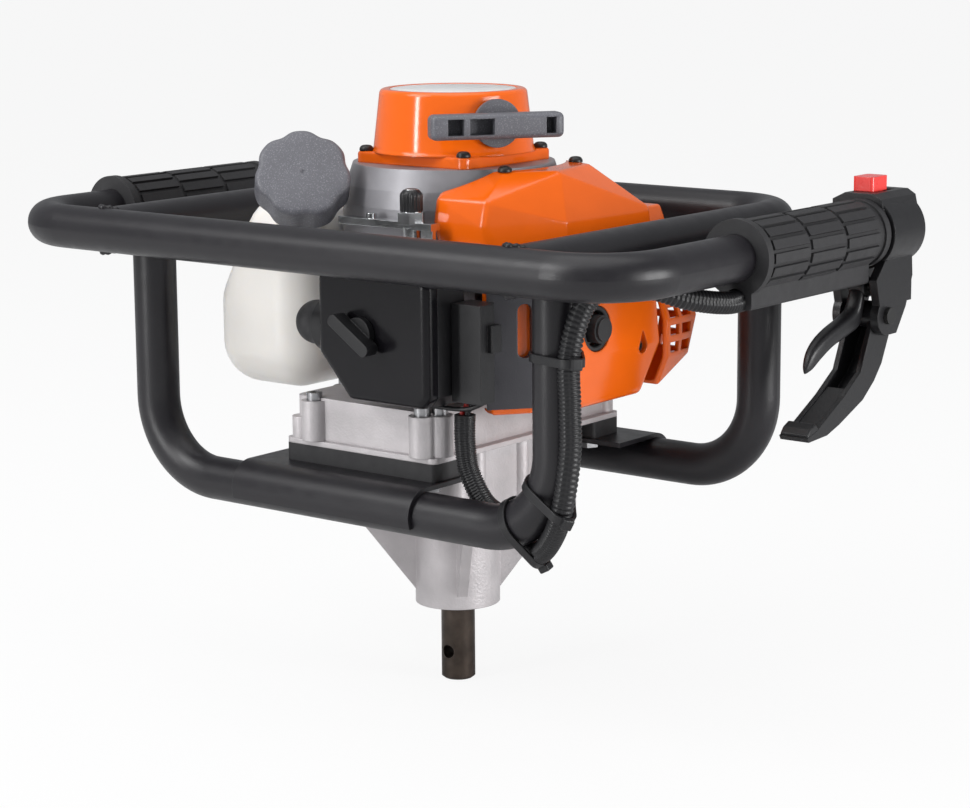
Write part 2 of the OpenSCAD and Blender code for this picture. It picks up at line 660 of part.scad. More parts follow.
module gearbox_upper_case() color("#b9b6b4") difference() {
    union() {
        translate([0, 0, split_z]) linear_extrude(upper_h) round_rect(case_w, 2 * case_y, 6);
        boss_places() translate([0, 0, split_z]) cylinder(r = 7.5, h = upper_h - 1.5);
        for (turn = [0, 180]) rotate([0, 0, turn]) translate([3 - case_w / 2, 3 - case_y, split_z])
            cylinder(r = 6, h = upper_h / 2);
    }
    boss_places() translate([0, 0, deck_z - spot_depth]) cylinder(r = spot_r, h = 5);
    translate([0, 0, split_z - 1]) linear_extrude(gear_face + 6) {
        circle(pinion_tip + 3);
        translate([0, centre]) circle(wheel_tip + 2);
    }
    bearing_seat(input_seat, 1);
    translate([0, 0, split_z]) cylinder(d = inner_d + 2 * gap + 6, h = upper_h);
    at_counter() translate([0, 0, split_z])
        cylinder(d = counter_high[2], h = counter_high[0] + counter_high[3] - split_z);
    at_mounts() translate([0, 0, split_z - 1]) cylinder(d = mount_bolt_d, h = 9);
}

module case_bolts() color("#77797d") boss_places() translate([0, 0, deck_z - spot_depth]) difference() {
    cylinder(d = 9, h = 5);
    translate([0, 0, 2.5]) cylinder(d = 5, h = 3, $fn = 6);
}

// Clutch drum on the input shaft, with the first pinion at its lower end
module clutch_drum() color("#7f8286") {
    translate([0, 0, counter_gear_z - 1]) pinion(90);
    translate([0, 0, counter_gear_z + gear_face + 1])
        cylinder(d = inner_d, h = deck_z + 4 - counter_gear_z - gear_face - 1);
    translate([0, 0, deck_z + 3]) difference() {
        cylinder(r = drum_r - 3, h = 14);
        translate([0, 0, 2.5]) cylinder(r = drum_r - 5.5, h = 14);
    }
}

// Two shoes on a carrier, parted by a slot and a groove for their spring
module clutch_shoes() color("#5d5f63") translate([0, 0, deck_z + 7]) difference() {
    cylinder(r = drum_r - 7, h = 9);
    translate([0, 0, -1]) cylinder(d = inner_d, h = 11);
    translate([-drum_r, -1.5, 3]) cube([2 * drum_r, 3, 7]);
    translate([0, 0, 3]) difference() {
        cylinder(r = 22, h = 7);
        translate([0, 0, -1]) cylinder(r = 17, h = 9);
    }
}

// Crankcase: clutch bell below, crank chamber, and the plate that carries the fan housing
module crankcase() color("#b0b1b3") difference() {
    union() {
        translate([0, 0, deck_z]) linear_extrude(5) round_rect(case_w - 16, 110, 14);
        translate([0, 0, deck_z]) cylinder(r = drum_r + 4, h = 20);
        translate([0, 0, deck_z + 18]) cylinder(r = barrel_x, h = fan_z - deck_z - 18);
        translate([0, 0, fan_z - 5]) cylinder(r = fan_r - 3, h = 5);
        translate([0, 0, crank_z]) rotate([0, 90, 0]) linear_extrude(barrel_x) round_rect(block_h, 64, 8);
    }
    translate([0, 0, deck_z - 1]) cylinder(r = drum_r, h = 18.5);
    translate([0, 0, crank_z - 14]) cylinder(r = web_r + 2, h = 28);
    bearing_seat(main_low, 1);
    translate([0, 0, crank_z - 24]) cylinder(d = inner_d + 8, h = 60);
    translate([0, 0, crank_z + 13]) cylinder(d = main_high[2], h = 9.5);
    translate([0, 0, crank_z]) rotate([0, 90, 0]) cylinder(d = bore_d + 4, h = drum_r + 5);
    translate([barrel_x, -fin_w / 2 - gap, fan_z - 6]) cube([fan_r, fin_w + 2 * gap, 8]);
}
block_h = 50;
fin_w = 66;
fin_h = 74;

// Finned barrel along +X with its head, intake toward the front and exhaust toward the back
module engine_cylinder() color("#a9abad") difference() {
    union() {
        translate([0, 0, crank_z]) rotate([0, 90, 0]) {
            translate([0, 0, barrel_x]) cylinder(r = bore_d / 2 + 6, h = head_x - barrel_x);
            translate([0, 0, barrel_x]) linear_extrude(4) round_rect(block_h, 64, 8);
            pitch = (head_x - barrel_x - 8) / fin_count;
            for (i = [1:fin_count]) translate([0, 0, barrel_x + 4 + i * pitch])
                linear_extrude(2) round_rect(fin_h, fin_w, 10);
        }
        translate([carb_x - 13, intake_y, crank_z - 13]) cube([26, -intake_y - bore_d / 2 - 2, 26]);
        translate([port_x - 13, bore_d / 2 + 2, crank_z - 13]) cube([26, exhaust_y - bore_d / 2 - 2, 26]);
    }
    translate([barrel_x - 1, 0, crank_z]) rotate([0, 90, 0]) cylinder(d = bore_d, h = head_x - barrel_x - 5);
    translate([head_x - 12, 0, crank_z]) rotate([0, 90, 0]) cylinder(d = plug_d, h = 20);
    translate([carb_x, 0, crank_z]) rotate([90, 0, 0]) cylinder(r = 9, h = 60);
    translate([port_x, 0, crank_z]) rotate([-90, 0, 0]) cylinder(r = 9, h = 60);
    translate([0, 0, fan_z - gap]) cylinder(r = fan_r + gap, h = 40);
    translate([0, 0, deck_z]) cylinder(r = drum_r + 4, h = 20);
}
plug_d = 14;
port_x = 63;

module piston() color("#c2c3c5") translate([piston_x, 0, crank_z]) rotate([0, 90, 0]) difference() {
    cylinder(r = bore_d / 2 - 0.08, h = piston_h);
    translate([0, 0, -1]) cylinder(r = bore_d / 2 - 3.5, h = piston_h - 5);
    translate([0, 0, piston_h - 12]) rotate([90, 0, 0]) cylinder(r = 5, h = 2 * bore_d, center = true);
}
piston_h = 22;
piston_x = head_x - 10 - piston_h;

// Crank: two webs, pin and journals, clutch end below and flywheel end above
module crankshaft() color("#6d6f73") {
    low = deck_z + 6.5;
    translate([0, 0, low]) cylinder(d = inner_d, h = crank_z - 13 - low);
    translate([0, 0, crank_z - 23]) cylinder(d = inner_d + 3, h = 10.5);
    for (z = [crank_z - 13, crank_z + 4]) translate([0, 0, z]) cylinder(r = web_r, h = 9);
    translate([stroke / 2, 0, crank_z - 5]) cylinder(r = 6, h = 10);
    translate([0, 0, crank_z + 13]) cylinder(d = inner_d + 3, h = fan_z + 6 - crank_z - 13);
    translate([0, 0, fan_z + 6]) cylinder(d = inner_d, h = 30);
}

module flywheel() color("#9fa1a4") translate([0, 0, fan_z + 6]) difference() {
    union() {
        cylinder(r = fan_r - 10, h = 5);
        cylinder(r = 20, h = 24);
        for (i = [0:vane_count - 1]) rotate([0, 0, i * 360 / vane_count]) translate([19, -1, 4])
            cube([fan_r - 31, 2, 16]);
    }
    translate([0, 0, -1]) cylinder(d = inner_d, h = 40);
}

// Silver fan housing, open toward the cylinder and under the recoil starter
module fan_shell(inset) translate([0, 0, fan_z]) rotate_extrude() polygon([[0, inset], [fan_r - inset, inset],
    [fan_r - inset, fan_h - 22], [fan_r - 2 - inset, fan_h - 12], [fan_r - 6 - inset, fan_h - inset],
    [0, fan_h - inset]]);
module fan_housing() color("#a7a9ac") difference() {
    fan_shell(0);
    fan_shell(cover_wall);
    translate([0, 0, fan_z - 1]) cylinder(r = fan_r - 8, h = 6);
    translate([0, 0, recoil_z - 5]) cylinder(r = 36, h = 10);
    translate([20, -30, fan_z + 6]) cube([fan_r, 60, fan_h - 26]);
}

module at_flange_screws() for (i = [-1, 1], j = [-1, 1])
    translate([i * recoil_screw, j * recoil_screw, 0]) children();

// Recoil starter: square flange, a hollow cone, and the post of the pulley and its spring
module recoil_housing() color("#f06a12") difference() {
    union() {
        difference() {
            union() {
                translate([0, 0, recoil_z]) linear_extrude(recoil_flange_t)
                    round_rect(recoil_side, recoil_side, 5);
                translate([0, 0, cone_z]) cone(0);
            }
            translate([0, 0, cone_z]) cone(cover_wall);
            translate([0, 0, recoil_z - 1]) cylinder(r = cone_r - cover_wall - 4, h = recoil_flange_t + 2);
        }
        translate([0, 0, rope_z - 6]) cylinder(r = pulley_bore - fit, h = cone_z + recoil_h - rope_z + 5);
        translate([0, 0, rope_z + 5.3]) cylinder(r = spring_r - 0.3, h = cone_z + recoil_h - rope_z - 6.3);
    }
    translate([0, 0, cone_z + recoil_h - 0.8]) cylinder(r = cone_top_r - 5, h = 2);
    rope_frame() translate([0, 0, 20]) cylinder(r = 9, h = 60);
    at_flange_screws() translate([0, 0, recoil_z - 1]) cylinder(d = screw_d, h = recoil_flange_t + 2);
}
module cone(inset) {
    foot = inset == 0 ? 0 : -1;
    top = cone_top_r - inset;
    high = recoil_h - inset;
    rotate_extrude() polygon([[0, foot], [cone_r - inset, foot], [top + 1, high - 2], [top - 1, high],
        [0, high]]);
}

// Frame of the starter's rope: +Z runs outward along the pull
module rope_frame() translate([0, 0, rope_z]) rotate([0, 0, rope_angle]) translate([0, rope_shift, 0])
    rotate([0, 90, 0]) children();

module rope_guide() color("#6e7076") rope_frame() difference() {
    union() {
        translate([0, 0, 36]) cylinder(r = 9, h = cone_r - 36);
        translate([0, 0, cone_r - 0.5]) cylinder(r = 13.5, h = 2.8);
    }
    translate([0, 0, 30]) cylinder(r = rope_d / 2 + gap, h = 30);
}

pulley_bore = 5;
spring_r = 10;
module recoil_pulley() color("#3b3c40") translate([0, 0, rope_z - 5]) difference() {
    rotate_extrude() polygon([[pulley_bore, 0], [33, 0], [33, 2], [29, 4], [29, 6], [33, 8], [33, 10],
        [pulley_bore, 10]]);
    translate([0, 0, -1]) rotate_extrude() translate([14, 0]) square([12, 5]);
}

// Flat coil spring above the pulley
spring_turns = 5;
spring_steps = 20 * spring_turns;
function spring_spot(i, out) = (spring_r + 18 * i / spring_steps + out) * [cos(i * 18), sin(i * 18)];
module recoil_spring() color("#8c8f94") translate([0, 0, rope_z + 5.6]) linear_extrude(5)
    polygon(concat([for (i = [0:spring_steps]) spring_spot(i, 0)],
        [for (i = [spring_steps:-1:0]) spring_spot(i, 0.9)]));

// T handle with pockets between the ribs of its outer side
module starter_handle() color("#6b6d73") rope_frame() difference() {
    union() {
        translate([0, handle_shift, rope_out]) rotate([0, 90, 0]) rotate([0, 0, 90]) handle_bar();
        translate([0, 0, rope_out - 13]) cylinder(r = 6, h = 8);
    }
    translate([0, 0, rope_out - 14]) cylinder(d = rope_d, h = 12);
}
handle_shift = -5;
handle_t = 14;
handle_deep = 13;
module handle_bar() difference() {
    translate([0, 0, -handle_t / 2]) linear_extrude(handle_t) round_rect(handle_len, handle_deep, 5);
    for (x = [[-24.4, 9.3], [-9.4, 14.3], [30.2, 5.9]]) translate([x[0], 2.5, 0])
        cube([x[1], handle_deep, handle_t - 5], center = true);
}

module starter_rope() color("#d9d7d2") rope_frame() translate([0, 0, 31])
    cylinder(d = rope_d - 0.1, h = rope_out - 33.1);

// Black pan-head screws with a cross slot
screw_d = 5;
screw_head = 8;
module screw(h) {
    difference() {
        cylinder(d = screw_head, h = 4);
        translate([0, 0, 2]) linear_extrude(3) square([1.4, 6], center = true);
        translate([0, 0, 2]) linear_extrude(3) square([6, 1.4], center = true);
    }
    translate([0, 0, -h]) cylinder(d = screw_d, h = h);
}

shroud_screws = [[fan_r - 3, -31], [fan_r - 3, 35]];
module cover_screws() color("#161616") {
    at_flange_screws() translate([0, 0, cone_z]) screw(recoil_flange_t);
    for (p = shroud_screws) translate([p[0], p[1], shroud_top]) screw(cover_wall);
    at_drop() difference() {
        union() {
            translate([0, 0, -drop_floor]) cylinder(d = drop_hole, h = drop_floor + 1);
            cylinder(d = 6.4, h = 1.8);
        }
        translate([0, 0, 1]) linear_extrude(2) square([0.9, 8], center = true);
    }
}

// Orange cylinder cover: a faceted shell through five levels, with a brow over the carburettor
shroud_top = recoil_z - 0.5;
shroud_low = deck_z - 4;
module level(z, points) translate([0, 0, z]) linear_extrude(0.02) polygon(points);
module shroud_form(w, open) hull() {
    e = shroud_end - w;
    level(shroud_top - 0.02 - w, [[24 - open, -36 + w], [fan_r - w / 2, -37 + w],
        [fan_r + 21 - w, -12 + w / 2], [fan_r + 12 - w, 36 - w], [fan_r - 2 - w, 44 - w],
        [24 - open, 48 - w]]);
    level(shroud_top - 14 - w / 2, [[33 - open, -60 + w], [fan_r + 6 - w / 2, -59 + w], [60, -40]]);
    level(shroud_top - 25 - w / 2, [[33 - open, -62 + w], [fan_r + 6 - w / 2, -62 + w], [e - 6, -22 + w / 2],
        [e - 2, 56 - w], [24 - open, 64 - w]]);
    level(shroud_low + 30, [[58 - open, -62 + w], [72 - w / 2, -62 + w], [e, -24 + w / 2], [e, 64 - w],
        [58 - open, 64 - w]]);
    level(shroud_low + w, [[58 - open, -56 + w], [70 - w / 2, -56 + w], [e - 4, -22 + w], [e - 4, 52 - w],
        [58 - open, 54 - w]]);
}
// Teardrop recess for a screw on the shroud's end; +Z runs out of the cover
drop_floor = 2.5;
drop_hole = 3;
module at_drop() translate([shroud_end - 4, 44.5, crank_z - 16]) rotate([0, 90, 0]) children();
module drop(w) hull() {
    circle(4 + w);
    translate([-8, 0]) circle(0.8 + w);
}
module cylinder_shroud() color("#f06a12") difference() {
    union() {
        difference() {
            shroud_form(0, 0);
            shroud_form(cover_wall, 8);
        }
        at_drop() translate([0, 0, -drop_floor]) linear_extrude(drop_floor + 2.6) drop(2.2);
    }
    at_drop() linear_extrude(20) drop(0);
    at_drop() translate([0, 0, -8]) cylinder(d = drop_hole, h = 10);
    translate([0, 0, deck_z - 30]) cylinder(r = fan_r + gap, h = 200);
    translate([0, -90, deck_z - 20]) cube([69, 42, 112]);
    translate([0, 0, crank_z]) rotate([0, 90, 0]) cylinder(r = 13, h = 140);
    for (p = shroud_screws) translate([p[0], p[1], shroud_top - 10]) cylinder(d = screw_d, h = 20);
}

// Dark panel over the shroud's chamfered front corner, with a slot
panel_edge = [[70, -60], [75, -66], [104, -30], [98, -20]];
module side_panel() color("#3c3b40") difference() {
    hull() {
        level(shroud_low + 6, panel_edge);
        level(shroud_low + 86, panel_edge);
    }
    shroud_form(0, 0);
    translate([88, -49, crank_z + 4]) rotate([0, 0, 50]) rotate([90, 0, 0]) linear_extrude(30, center = true)
        round_rect(8, 30, 3.9);
}

module muffler() color("#3a3836") difference() {
    translate([52, exhaust_y, crank_z - 12]) cube([42, 12, 38]);
    translate([port_x, exhaust_y - 1, crank_z]) rotate([-90, 0, 0]) cylinder(r = 9, h = 10);
}

// Grille beside the shroud: two columns of windows on its end and one row of them behind
module guard_form(w) hull() {
    e = shroud_end - w;
    level(shroud_top - 28 - w, [[56 + w, 64.4 - w], [84 - w, 64.4 - w], [82 - w, 92 - w], [56 + w, 92 - w]]);
    level(crank_z - 4, [[56 + w, 64.4 - w], [e + 2, 64.4 - w], [e + 2, 97 - w], [56 + w, 97 - w]]);
    level(crank_z - 25, [[60 + w, 64.4 - w], [e + 2, 64.4 - w], [e, 92 - w], [60 + w, 92 - w]]);
    level(shroud_low + 3 + w, [[60 + w, 64.4 - w], [e - 4, 64.4 - w], [e - 6, 72 - w], [60 + w, 72 - w]]);
}
module muffler_guard() color("#f06a12") difference() {
    guard_form(0);
    guard_form(cover_wall);
    for (i = [0:3], j = [0, 1]) {
        z = crank_z - 23 + i * 10;
        translate([90, 69 + j * 12, z]) cube([30, 9, 6]);
        translate([66 + j * 16, 85, z]) cube([13, 30, 6]);
    }
}

module spark_plug() color("#d6d3cd") translate([0, 0, crank_z]) rotate([0, 90, 0]) {
    translate([0, 0, head_x - 6]) cylinder(d = plug_d, h = 6);
    translate([0, 0, head_x]) cylinder(d = 19, h = 8, $fn = 6);
    translate([0, 0, head_x + 8]) cylinder(r = 5, h = 8);
}

module plug_boot() color("#55565a") translate([0, 0, crank_z]) rotate([0, 90, 0]) difference() {
    translate([0, 0, head_x + 8]) union() {
        cylinder(r = 8, h = 9.5);
        translate([0, 0, 9]) cylinder(r = 6.6, h = 2);
    }
    translate([0, 0, head_x + 7]) cylinder(r = 5, h = 9);
}

// Module box beside the air filter, with a lug to the shroud and a plug toward the panel
module_z = deck_z + 9;
module ignition_module() color("#121214") {
    translate([filter_x1 + gap, -86, module_z]) linear_extrude(54)
        polygon([[0, 0], [20, 0], [20, 12], [16, 17], [0, 17]]);
    translate([filter_x1 + gap, -70, module_z + 20]) cube([5, 7.7, 20]);
    translate([filter_x1 + 20, -80, crank_z - 4]) cube([4, 8, 15]);
}

module carburettor() color("#9c9ea1") difference() {
    union() {
        translate([carb_x - 15, filter_y0, crank_z - 17]) cube([30, intake_y - 4 - filter_y0, 34]);
        translate([carb_x, intake_y - 4, crank_z]) rotate([-90, 0, 0]) cylinder(r = 13, h = 4);
    }
    translate([carb_x, filter_y0 - 1, crank_z]) rotate([-90, 0, 0]) cylinder(r = 9, h = 60);
    translate([arm_at[0], arm_at[1], crank_z + 10]) cylinder(r = 2.5 + fit, h = 20);
}

module throttle_arm() color("#b8babd") translate([arm_at[0], arm_at[1], crank_z + 17.4]) {
    translate([0, 0, -6]) cylinder(r = 2.5, h = 8);
    linear_extrude(2) {
        circle(5.5);
        translate([-20, -3]) square([20, 6]);
        translate([-20, 0]) circle(4);
    }
}

// Bracket for the throttle cable: a leg on the carburettor, a shelf, a nut and the cable's end cap
shelf_z = crank_z + 58;
shelf_y = -fan_r - 7;
module cable_adjuster() color("#c9cbce") {
    translate([carb_x - 15, filter_y0 + 0.3, crank_z + 17]) cube([8, 3, shelf_z - crank_z - 17]);
    translate([0, 0, shelf_z]) linear_extrude(4) {
        translate([-23, shelf_y - 4]) square([carb_x + 16, 8]);
        translate([carb_x - 15, shelf_y]) square([8, filter_y0 + 3.3 - shelf_y]);
    }
    translate([-2, shelf_y, shelf_z + 3]) cylinder(r = 3, h = 4);
    translate([27, shelf_y, shelf_z]) {
        translate([0, 0, -5]) cylinder(r = 5, h = 6);
        translate([0, 0, 3]) cylinder(r = 8, h = 6.5, $fn = 6);
        translate([0, 0, 8]) cylinder(r = 5.8, h = 10);
        translate([0, 0, 18]) cylinder(r1 = 5.8, r2 = 3.8, h = 4);
    }
}

// Air filter: outline with a chamfered lower corner, seen from the front
module filter_outline(w) polygon([[filter_x0 + w, filter_z0 + 25], [filter_x0 + 22 + w / 3, filter_z0 + w],
    [filter_x1 - 5, filter_z0 + w], [filter_x1 - w, filter_z0 + 6], [filter_x1 - w, filter_z1 - 6],
    [filter_x1 - 6, filter_z1 - w], [filter_x0 + 6, filter_z1 - w], [filter_x0 + w, filter_z1 - 6]]);
module filter_slab(y0, y1, w) translate([0, y0, 0]) rotate([90, 0, 0]) linear_extrude(y0 - y1)
    filter_outline(w);
module at_knob(y) translate([knob_at[0], y, knob_at[1]]) rotate([90, 0, 0]) children();
// Frame of the primer bulb: +Z runs out of the filter's left side
module at_bulb() translate([filter_x0, -86, crank_z + 3]) rotate([0, -90, 0]) children();

module air_filter_base() color("#1c1c1f") difference() {
    union() {
        filter_slab(filter_y0, filter_y1, 0);
        at_bulb() cylinder(r = bulb_r + 2.5, h = bulb_cup);
    }
    filter_slab(filter_y0 - 4, filter_y1 - 1, 3);
    translate([carb_x, -80, crank_z]) rotate([-90, 0, 0]) cylinder(r = 9, h = 20);
    at_bulb() cylinder(r = bulb_r + 0.3, h = bulb_cup + 1);
}

module air_filter_element() color("#8a8578") difference() {
    filter_slab(filter_y0 - 4.2, filter_y1 + 0.2, 3.4);
    at_knob(filter_y0) cylinder(r = 5, h = 40);
}

module air_filter_cover() color("#202024") difference() {
    hull() {
        filter_slab(filter_y1, filter_y1 - 5, 0);
        filter_slab(filter_y1 - 5, filter_y2, 4);
    }
    filter_slab(filter_y1 + 1, filter_y2 + 3, 5);
    at_knob(filter_y0) cylinder(r = 3 + fit, h = 60);
}

module air_filter_knob() color("#151517") at_knob(filter_y2 - gap / 2) {
    cylinder(r = 9, h = 4);
    translate([0, 0, -8]) cylinder(r = 3, h = 9);
    rotate([0, 0, -34]) translate([0, 0, 3]) linear_extrude(9) round_rect(32, 7, 3);
}

// Soft dome that is pressed into its cup
bulb_travel = 4;
module primer_bulb() color("#161617") at_bulb() translate([0, 0, bulb_travel + 0.5]) rotate_extrude() {
    square([bulb_r, 12]);
    intersection() {
        translate([0, 12]) circle(bulb_r);
        square([bulb_r, 12 + bulb_r]);
    }
}

// Outline of the tank from the front, whose upper left side leans inward
module tank_face(x, z, r) hull() {
    for (i = [-1, 1]) translate([i * (x / 2 - r), r - z / 2]) circle(r);
    translate([r - x / 2, -z * 0.1]) circle(r);
    translate([r - x / 2 + tank_lean, z / 2 - r]) circle(r);
    translate([x / 2 - r, z / 2 - r]) circle(r);
}

// Translucent tank: rounded box, scooped clear of the fan housing, with a slanted filler neck
module tank_form(w) translate([tank_x - tank_wide / 2, 0, tank_z + tank_h / 2]) intersection() {
    size = [tank_wide, tank_d, tank_h] - 2 * w * [1, 1, 1];
    r = tank_r - w;
    linear_extrude(size[2], center = true) round_rect(size[0], size[1], r);
    rotate([90, 0, 0]) linear_extrude(size[1], center = true) tank_face(size[0], size[2], r);
    rotate([90, 0, 90]) linear_extrude(size[0], center = true) round_rect(size[1], size[2], r);
}
// Frame of the filler: +Z runs out along the neck
module cap_frame() translate(cap_at) rotate([0, 0, cap_turn]) rotate([0, 90 - cap_tilt, 0]) children();
neck_r = 17;
module fuel_tank() color("#e8e6e2") difference() {
    union() {
        difference() {
            tank_form(0);
            translate([0, 0, fan_z - 6]) cylinder(r = fan_r + gap, h = 120);
        }
        cap_frame() translate([0, 0, -36]) cylinder(r = neck_r, h = 39.6);
    }
    difference() {
        tank_form(cover_wall);
        translate([0, 0, fan_z - 6 - cover_wall]) cylinder(r = fan_r + gap + cover_wall, h = 140);
    }
    cap_frame() translate([0, 0, -60]) cylinder(r = neck_r - 4, h = 80);
}

// Cap with seven shallow lobes
module fuel_cap() color("#6e7076") cap_frame() difference() {
    translate([0, 0, -10]) linear_extrude(20) {
        circle(cap_d / 2 - 1.8);
        for (i = [0:6]) rotate(i * 360 / 7) translate([cap_d / 2 - 14, 0]) circle(14);
    }
    translate([0, 0, -11]) cylinder(r = neck_r + gap, h = 15);
    translate([0, 0, 9]) cylinder(r = 0.8, h = 5);
}

handle_tube();
ring_tube();
front_hoop();
rear_hoop();
front_mount_plate();
rear_mount_plate();
front_isolator();
rear_isolator();
mount_bolts();
left_grip();
right_grip();
throttle_housing();
throttle_trigger();
lock_lever();
lever_pins();
stop_switch();
cable_conduit();
cable_ties();
lead_wires();
gearbox_lower_case();
gearbox_upper_case();
case_bolts();
bearings();
oil_seal();
output_shaft();
output_gear();
countershaft();
counter_gear();
clutch_drum();
clutch_shoes();
crankcase();
engine_cylinder();
piston();
crankshaft();
flywheel();
fan_housing();
recoil_housing();
recoil_pulley();
recoil_spring();
rope_guide();
starter_handle();
starter_rope();
cover_screws();
cylinder_shroud();
side_panel();
muffler();
muffler_guard();
spark_plug();
plug_boot();
ignition_module();
carburettor();
throttle_arm();
cable_adjuster();
air_filter_base();
air_filter_element();
air_filter_cover();
air_filter_knob();
primer_bulb();
fuel_tank();
fuel_cap();
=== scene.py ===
import json
import math

import bmesh
import bpy
from mathutils import Matrix, Vector


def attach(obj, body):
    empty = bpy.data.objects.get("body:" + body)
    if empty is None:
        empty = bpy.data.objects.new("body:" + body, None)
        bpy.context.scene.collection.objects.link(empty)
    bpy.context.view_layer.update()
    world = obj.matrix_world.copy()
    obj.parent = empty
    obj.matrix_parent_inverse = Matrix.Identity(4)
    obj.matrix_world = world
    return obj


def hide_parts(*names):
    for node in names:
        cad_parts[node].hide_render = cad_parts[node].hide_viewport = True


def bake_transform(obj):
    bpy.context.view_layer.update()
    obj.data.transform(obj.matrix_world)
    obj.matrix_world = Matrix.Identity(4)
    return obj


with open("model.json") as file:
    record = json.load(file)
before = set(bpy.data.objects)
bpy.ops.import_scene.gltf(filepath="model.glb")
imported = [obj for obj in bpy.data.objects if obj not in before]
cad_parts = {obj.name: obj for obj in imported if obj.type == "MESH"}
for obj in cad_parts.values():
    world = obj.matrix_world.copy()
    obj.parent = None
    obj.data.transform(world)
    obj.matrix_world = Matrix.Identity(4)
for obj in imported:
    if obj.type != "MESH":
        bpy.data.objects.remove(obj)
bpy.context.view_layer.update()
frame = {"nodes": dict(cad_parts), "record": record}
scene = bpy.context.scene

# Pieces are written in mm, in the CAD's frame: +X to the throttle grip, -Y to the front bar, +Z up the shaft.
# The camera, the lamps and the floor are written in metres.
MM = 0.001
SHARP = 40  # degrees between two faces, from which their edge isn't smoothed

# Values of the CAD that pieces are placed by
ARM, POST, BAR, RING_Z = 213, 146, 139, 270  # arms, posts and bars off the axis, height of the bars
HOOP_Y, HOOP_Z, BEND = 98, 124, 45  # the lower hoops and their bend's radius
FAN_R, CRANK = 64, 218  # fan housing's radius, height of the cylinder's axis
TOP, LOW, END = 306, 173, 102  # top, bottom and outer end of the cylinder's cover
DECK = 177  # top of the gear case
LOCK_AT, TRIGGER_AT = Vector((ARM, 97, 240)), Vector((ARM, 102, 224))  # the levers' pivots
RECESS_Y, RECESS_Z = 44.5, CRANK - 16  # the small screw's recess in the cylinder's cover


# Camera, floor and light

IMAGE_WIDTH, FOCAL = 970, 2647.16  # pixels
SENSOR = 36
AZIMUTH, ELEVATION, ROLL = math.radians(38.27), math.radians(10.91), math.radians(-0.41)
EYE = Vector((0.95457, -1.18278, 0.45664))

FLOOR_HALF, FLOOR_Z, FLOOR_GREY = 40, -0.0016, 0.72
FLOOR_WHITE = 0.9  # share of plain white in what the camera sees of the floor
WORLD_COLOR, WORLD_LIGHT = (0.95, 0.97, 1, 1), 0.4
LAMPS = (  # name, place, target, size, power
    ("key", (-0.9, -1.7, 1.9), (0, 0, 0.22), (1.4, 1.0), 31),
    ("top", (0.0, -0.22, 1.7), (0, -0.1, 0.2), (1.7, 1.6), 14),
    ("side", (2.0, 0.34, 0.42), (0, 0, 0.25), (1.0, 0.75), 31),
    ("strip", (-0.62, -1.9, 0.55), (0, 0, 0.3), (0.16, 1.1), 15),
)


def add_camera():
    level = math.cos(ELEVATION)
    back = Vector((math.sin(AZIMUTH) * level, -math.cos(AZIMUTH) * level, math.sin(ELEVATION)))
    right = Vector((math.cos(AZIMUTH), math.sin(AZIMUTH), 0))
    up = back.cross(right)
    side = right * math.cos(ROLL) + up * math.sin(ROLL)
    top = up * math.cos(ROLL) - right * math.sin(ROLL)
    data = bpy.data.cameras.new("camera")
    data.sensor_fit = "HORIZONTAL"
    data.sensor_width = SENSOR
    data.lens = SENSOR * FOCAL / IMAGE_WIDTH
    data.clip_end = 200
    camera = bpy.data.objects.new("camera", data)
    place = Matrix((side, top, back)).transposed().to_4x4()
    place.translation = EYE
    camera.matrix_world = place
    scene.collection.objects.link(camera)
    scene.camera = camera


def add_lamp(name, place, target, size, power):
    data = bpy.data.lights.new(name, "AREA")
    data.shape = "RECTANGLE"
    data.size, data.size_y = size
    data.energy = power
    lamp = bpy.data.objects.new(name, data)
    lamp.location = place
    lamp.rotation_euler = (Vector(target) - Vector(place)).to_track_quat("-Z", "Y").to_euler()
    scene.collection.objects.link(lamp)


def floor_finish():
    """A matt grey that keeps the shadow, and that the camera sees as nearly white."""
    mat = bpy.data.materials.new("floor")
    mat.use_nodes = True
    tree = mat.node_tree
    tree.nodes.clear()
    out = tree.nodes.new("ShaderNodeOutputMaterial")
    mix = tree.nodes.new("ShaderNodeMixShader")
    matt = tree.nodes.new("ShaderNodeBsdfDiffuse")
    glow = tree.nodes.new("ShaderNodeEmission")
    path = tree.nodes.new("ShaderNodeLightPath")
    seen = tree.nodes.new("ShaderNodeMath")
    seen.operation = "MULTIPLY"
    seen.inputs[1].default_value = FLOOR_WHITE
    matt.inputs["Color"].default_value = (FLOOR_GREY, FLOOR_GREY, FLOOR_GREY, 1)
    glow.inputs["Color"].default_value = (1, 1, 1, 1)
    tree.links.new(path.outputs["Is Camera Ray"], seen.inputs[0])
    tree.links.new(seen.outputs[0], mix.inputs["Fac"])
    tree.links.new(matt.outputs[0], mix.inputs[1])
    tree.links.new(glow.outputs[0], mix.inputs[2])
    tree.links.new(mix.outputs[0], out.inputs["Surface"])
    return mat


def add_stage():
    mesh = bpy.data.meshes.new("floor")
    signs = ((-1, -1), (1, -1), (1, 1), (-1, 1))
    mesh.from_pydata([(x * FLOOR_HALF, y * FLOOR_HALF, FLOOR_Z) for x, y in signs], [], [(0, 1, 2, 3)])
    mesh.materials.append(floor_finish())
    floor = bpy.data.objects.new("floor", mesh)
    scene.collection.objects.link(floor)
    world = bpy.data.worlds.new("studio")
    world.use_nodes = True
    sky = world.node_tree.nodes["Background"]
    sky.inputs["Color"].default_value = WORLD_COLOR
    sky.inputs["Strength"].default_value = WORLD_LIGHT
    scene.world = world
    for lamp in LAMPS:
        add_lamp(*lamp)
    scene.view_settings.view_transform = "Standard"


# Materials

